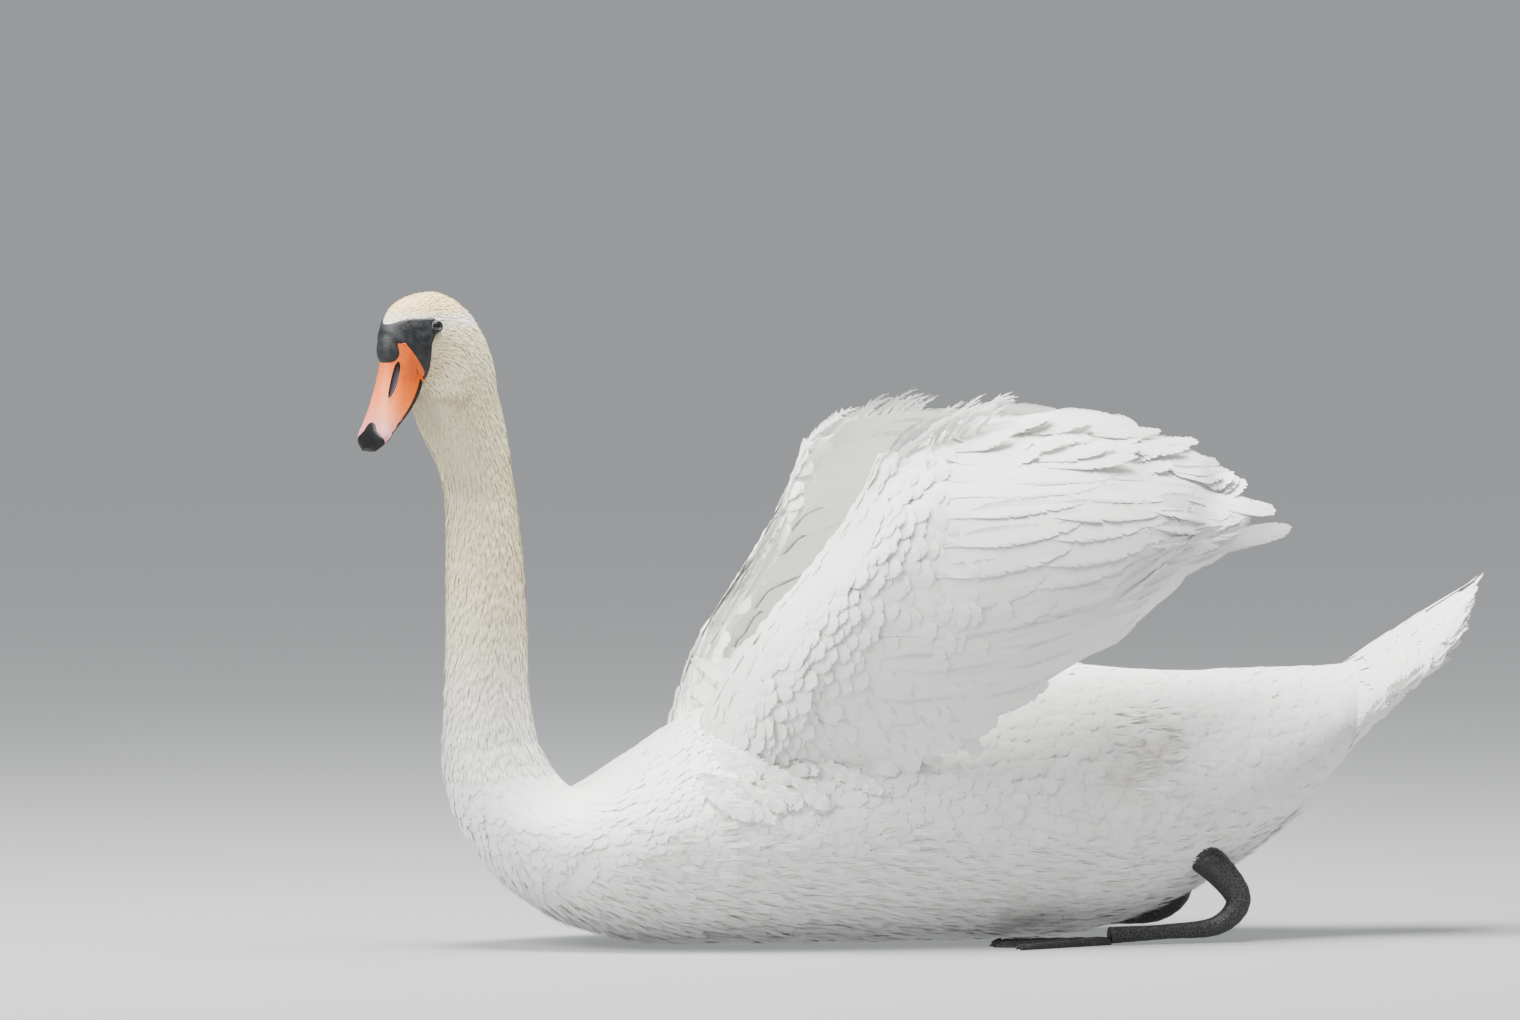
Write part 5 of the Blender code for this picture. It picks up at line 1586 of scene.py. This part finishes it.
def build_claws(hand, side):
    """A short blunt claw at the end of each toe."""
    claws = []
    spin = np.arange(12) / 12 * 2 * np.pi
    for toe, far in TOES:
        way = toe * FOOT_SPREAD * TOE_PLACE + FOOT_TOE_OUT
        cross = np.array([math.sin(way), side * math.cos(way), 0.0])
        rings = []
        for t in np.linspace(0, 1, 12):
            d = FOOT_LENGTH * far * 0.955 + CLAW_LENGTH * t
            r = CLAW_THICK * (1 - t) ** 0.6 + 0.0002
            centre = np.array([FOOT_HEEL[0] - d * math.cos(way),
                               side * (FOOT_HEEL[1] + d * math.sin(way)),
                               CLAW_HEIGHT - CLAW_DROP * t * t])
            rings.append(centre + cross * (r * np.cos(spin))[:, None] + UP * (r * np.sin(spin))[:, None])
        rings = np.array(rings)
        rings[..., 2] = rings[..., 2].clip(2 * OFF_THE_FLOOR)
        claws.append(tube("claw", rings, face_skin))
    return into_one(f"claws_{hand}", *claws)


# =============================================================== studio
FLOOR_HALF = 200.0
LAMPS = (("overhead softbox", (-0.2, -0.15, 2.9), 1.5, 280.0),
         ("front softbox", (-2.1, -0.7, 1.9), 1.5, 110.0))       # place, size, watts
LAMPS_AIM = Vector((0, 0, 0.25))
VIEW_AZIMUTH, VIEW_HEIGHT = math.radians(-14.0), math.radians(2.0)
VIEW_DISTANCE, VIEW_WIDTH, SENSOR = 12.0, 1.2464, 36.0
VIEW_AIM = Vector((-0.1148 / math.cos(VIEW_AZIMUTH) + SHIFT, 0.0, 0.355))


def build_floor():
    data = bpy.data.meshes.new("floor")
    corners = [(-1, -1), (1, -1), (1, 1), (-1, 1)]
    data.from_pydata([(x * FLOOR_HALF, y * FLOOR_HALF, 0) for x, y in corners], [], [(0, 1, 2, 3)])
    data.materials.append(floor_material())
    in_scene("floor", data)


def build_light():
    world = bpy.data.worlds.new("studio")
    world.use_nodes = True
    feed(world.node_tree.nodes["Background"], {
        "Color": linear(STUDIO_TINT), "Strength": WORLD_LIGHT})
    bpy.context.scene.world = world
    for name, place, size, power in LAMPS:
        lamp = bpy.data.lights.new(name, "AREA")
        lamp.size, lamp.energy = size, power
        holder = in_scene(name, lamp)
        holder.location = place
        holder.rotation_euler = (LAMPS_AIM - holder.location).to_track_quat("-Z", "Y").to_euler()


def build_camera():
    camera = bpy.data.cameras.new("camera")
    camera.sensor_width = SENSOR
    camera.lens = SENSOR * VIEW_DISTANCE / VIEW_WIDTH
    back = Vector((math.sin(VIEW_AZIMUTH) * math.cos(VIEW_HEIGHT),
                   -math.cos(VIEW_AZIMUTH) * math.cos(VIEW_HEIGHT), math.sin(VIEW_HEIGHT)))
    holder = in_scene("camera", camera)
    holder.location = VIEW_AIM + back * VIEW_DISTANCE
    holder.rotation_euler = (-back).to_track_quat("-Z", "Y").to_euler()
    bpy.context.scene.camera = holder


# =============================================================== assembly
FLESH = ["trunk", "tail", "neck_lower", "neck_middle", "neck_upper", "head"] + [
    f"wing_{hand}_{part}" for hand in ("left", "right")
    for part in ("forewing", "secondaries", "primaries")]


def settle(piece, slot, *nodes):
    """Ride the still body and stand for CAD nodes, which it hides; slot is not used."""
    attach(piece, "root")
    if nodes:
        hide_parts(*nodes)


build_camera()
build_floor()
build_light()
settle(build_skin(), "white_feathers", *FLESH)
for coat_piece in dress_body():
    settle(coat_piece, "ivory_feathers" if coat_piece.name in ("coat_head", "coat_neck")
           else "white_feathers")
for coat_piece in (*dress_wing("left", -1), *dress_wing("right", 1), *dress_tail()):
    settle(coat_piece, "white_feathers")
settle(build_bill(), "orange_bill", "bill_upper")
settle(build_jaw(), "black_skin", "bill_lower")
settle(build_knob(), "black_skin", "bill_knob")
settle(face_patch("bare_face", bare, MASK_PROUD, 90, 181, face_skin), "black_skin")
settle(build_gape(), "orange_bill")
for hand, side in (("left", 1), ("right", -1)):
    settle(build_eyeball(hand, side), "eye", f"eye_{hand}")
    settle(build_eyelid(hand, side), "black_skin")
    settle(build_leg(hand, -side), "leg_skin", f"leg_{hand}")
    settle(build_foot(hand, -side), "leg_skin", f"foot_{hand}")
    settle(build_claws(hand, -side), "black_skin")
for group in feathers.values():
    for pattern in list(group.objects):
        bpy.data.objects.remove(pattern, do_unlink=True)
    bpy.data.collections.remove(group)
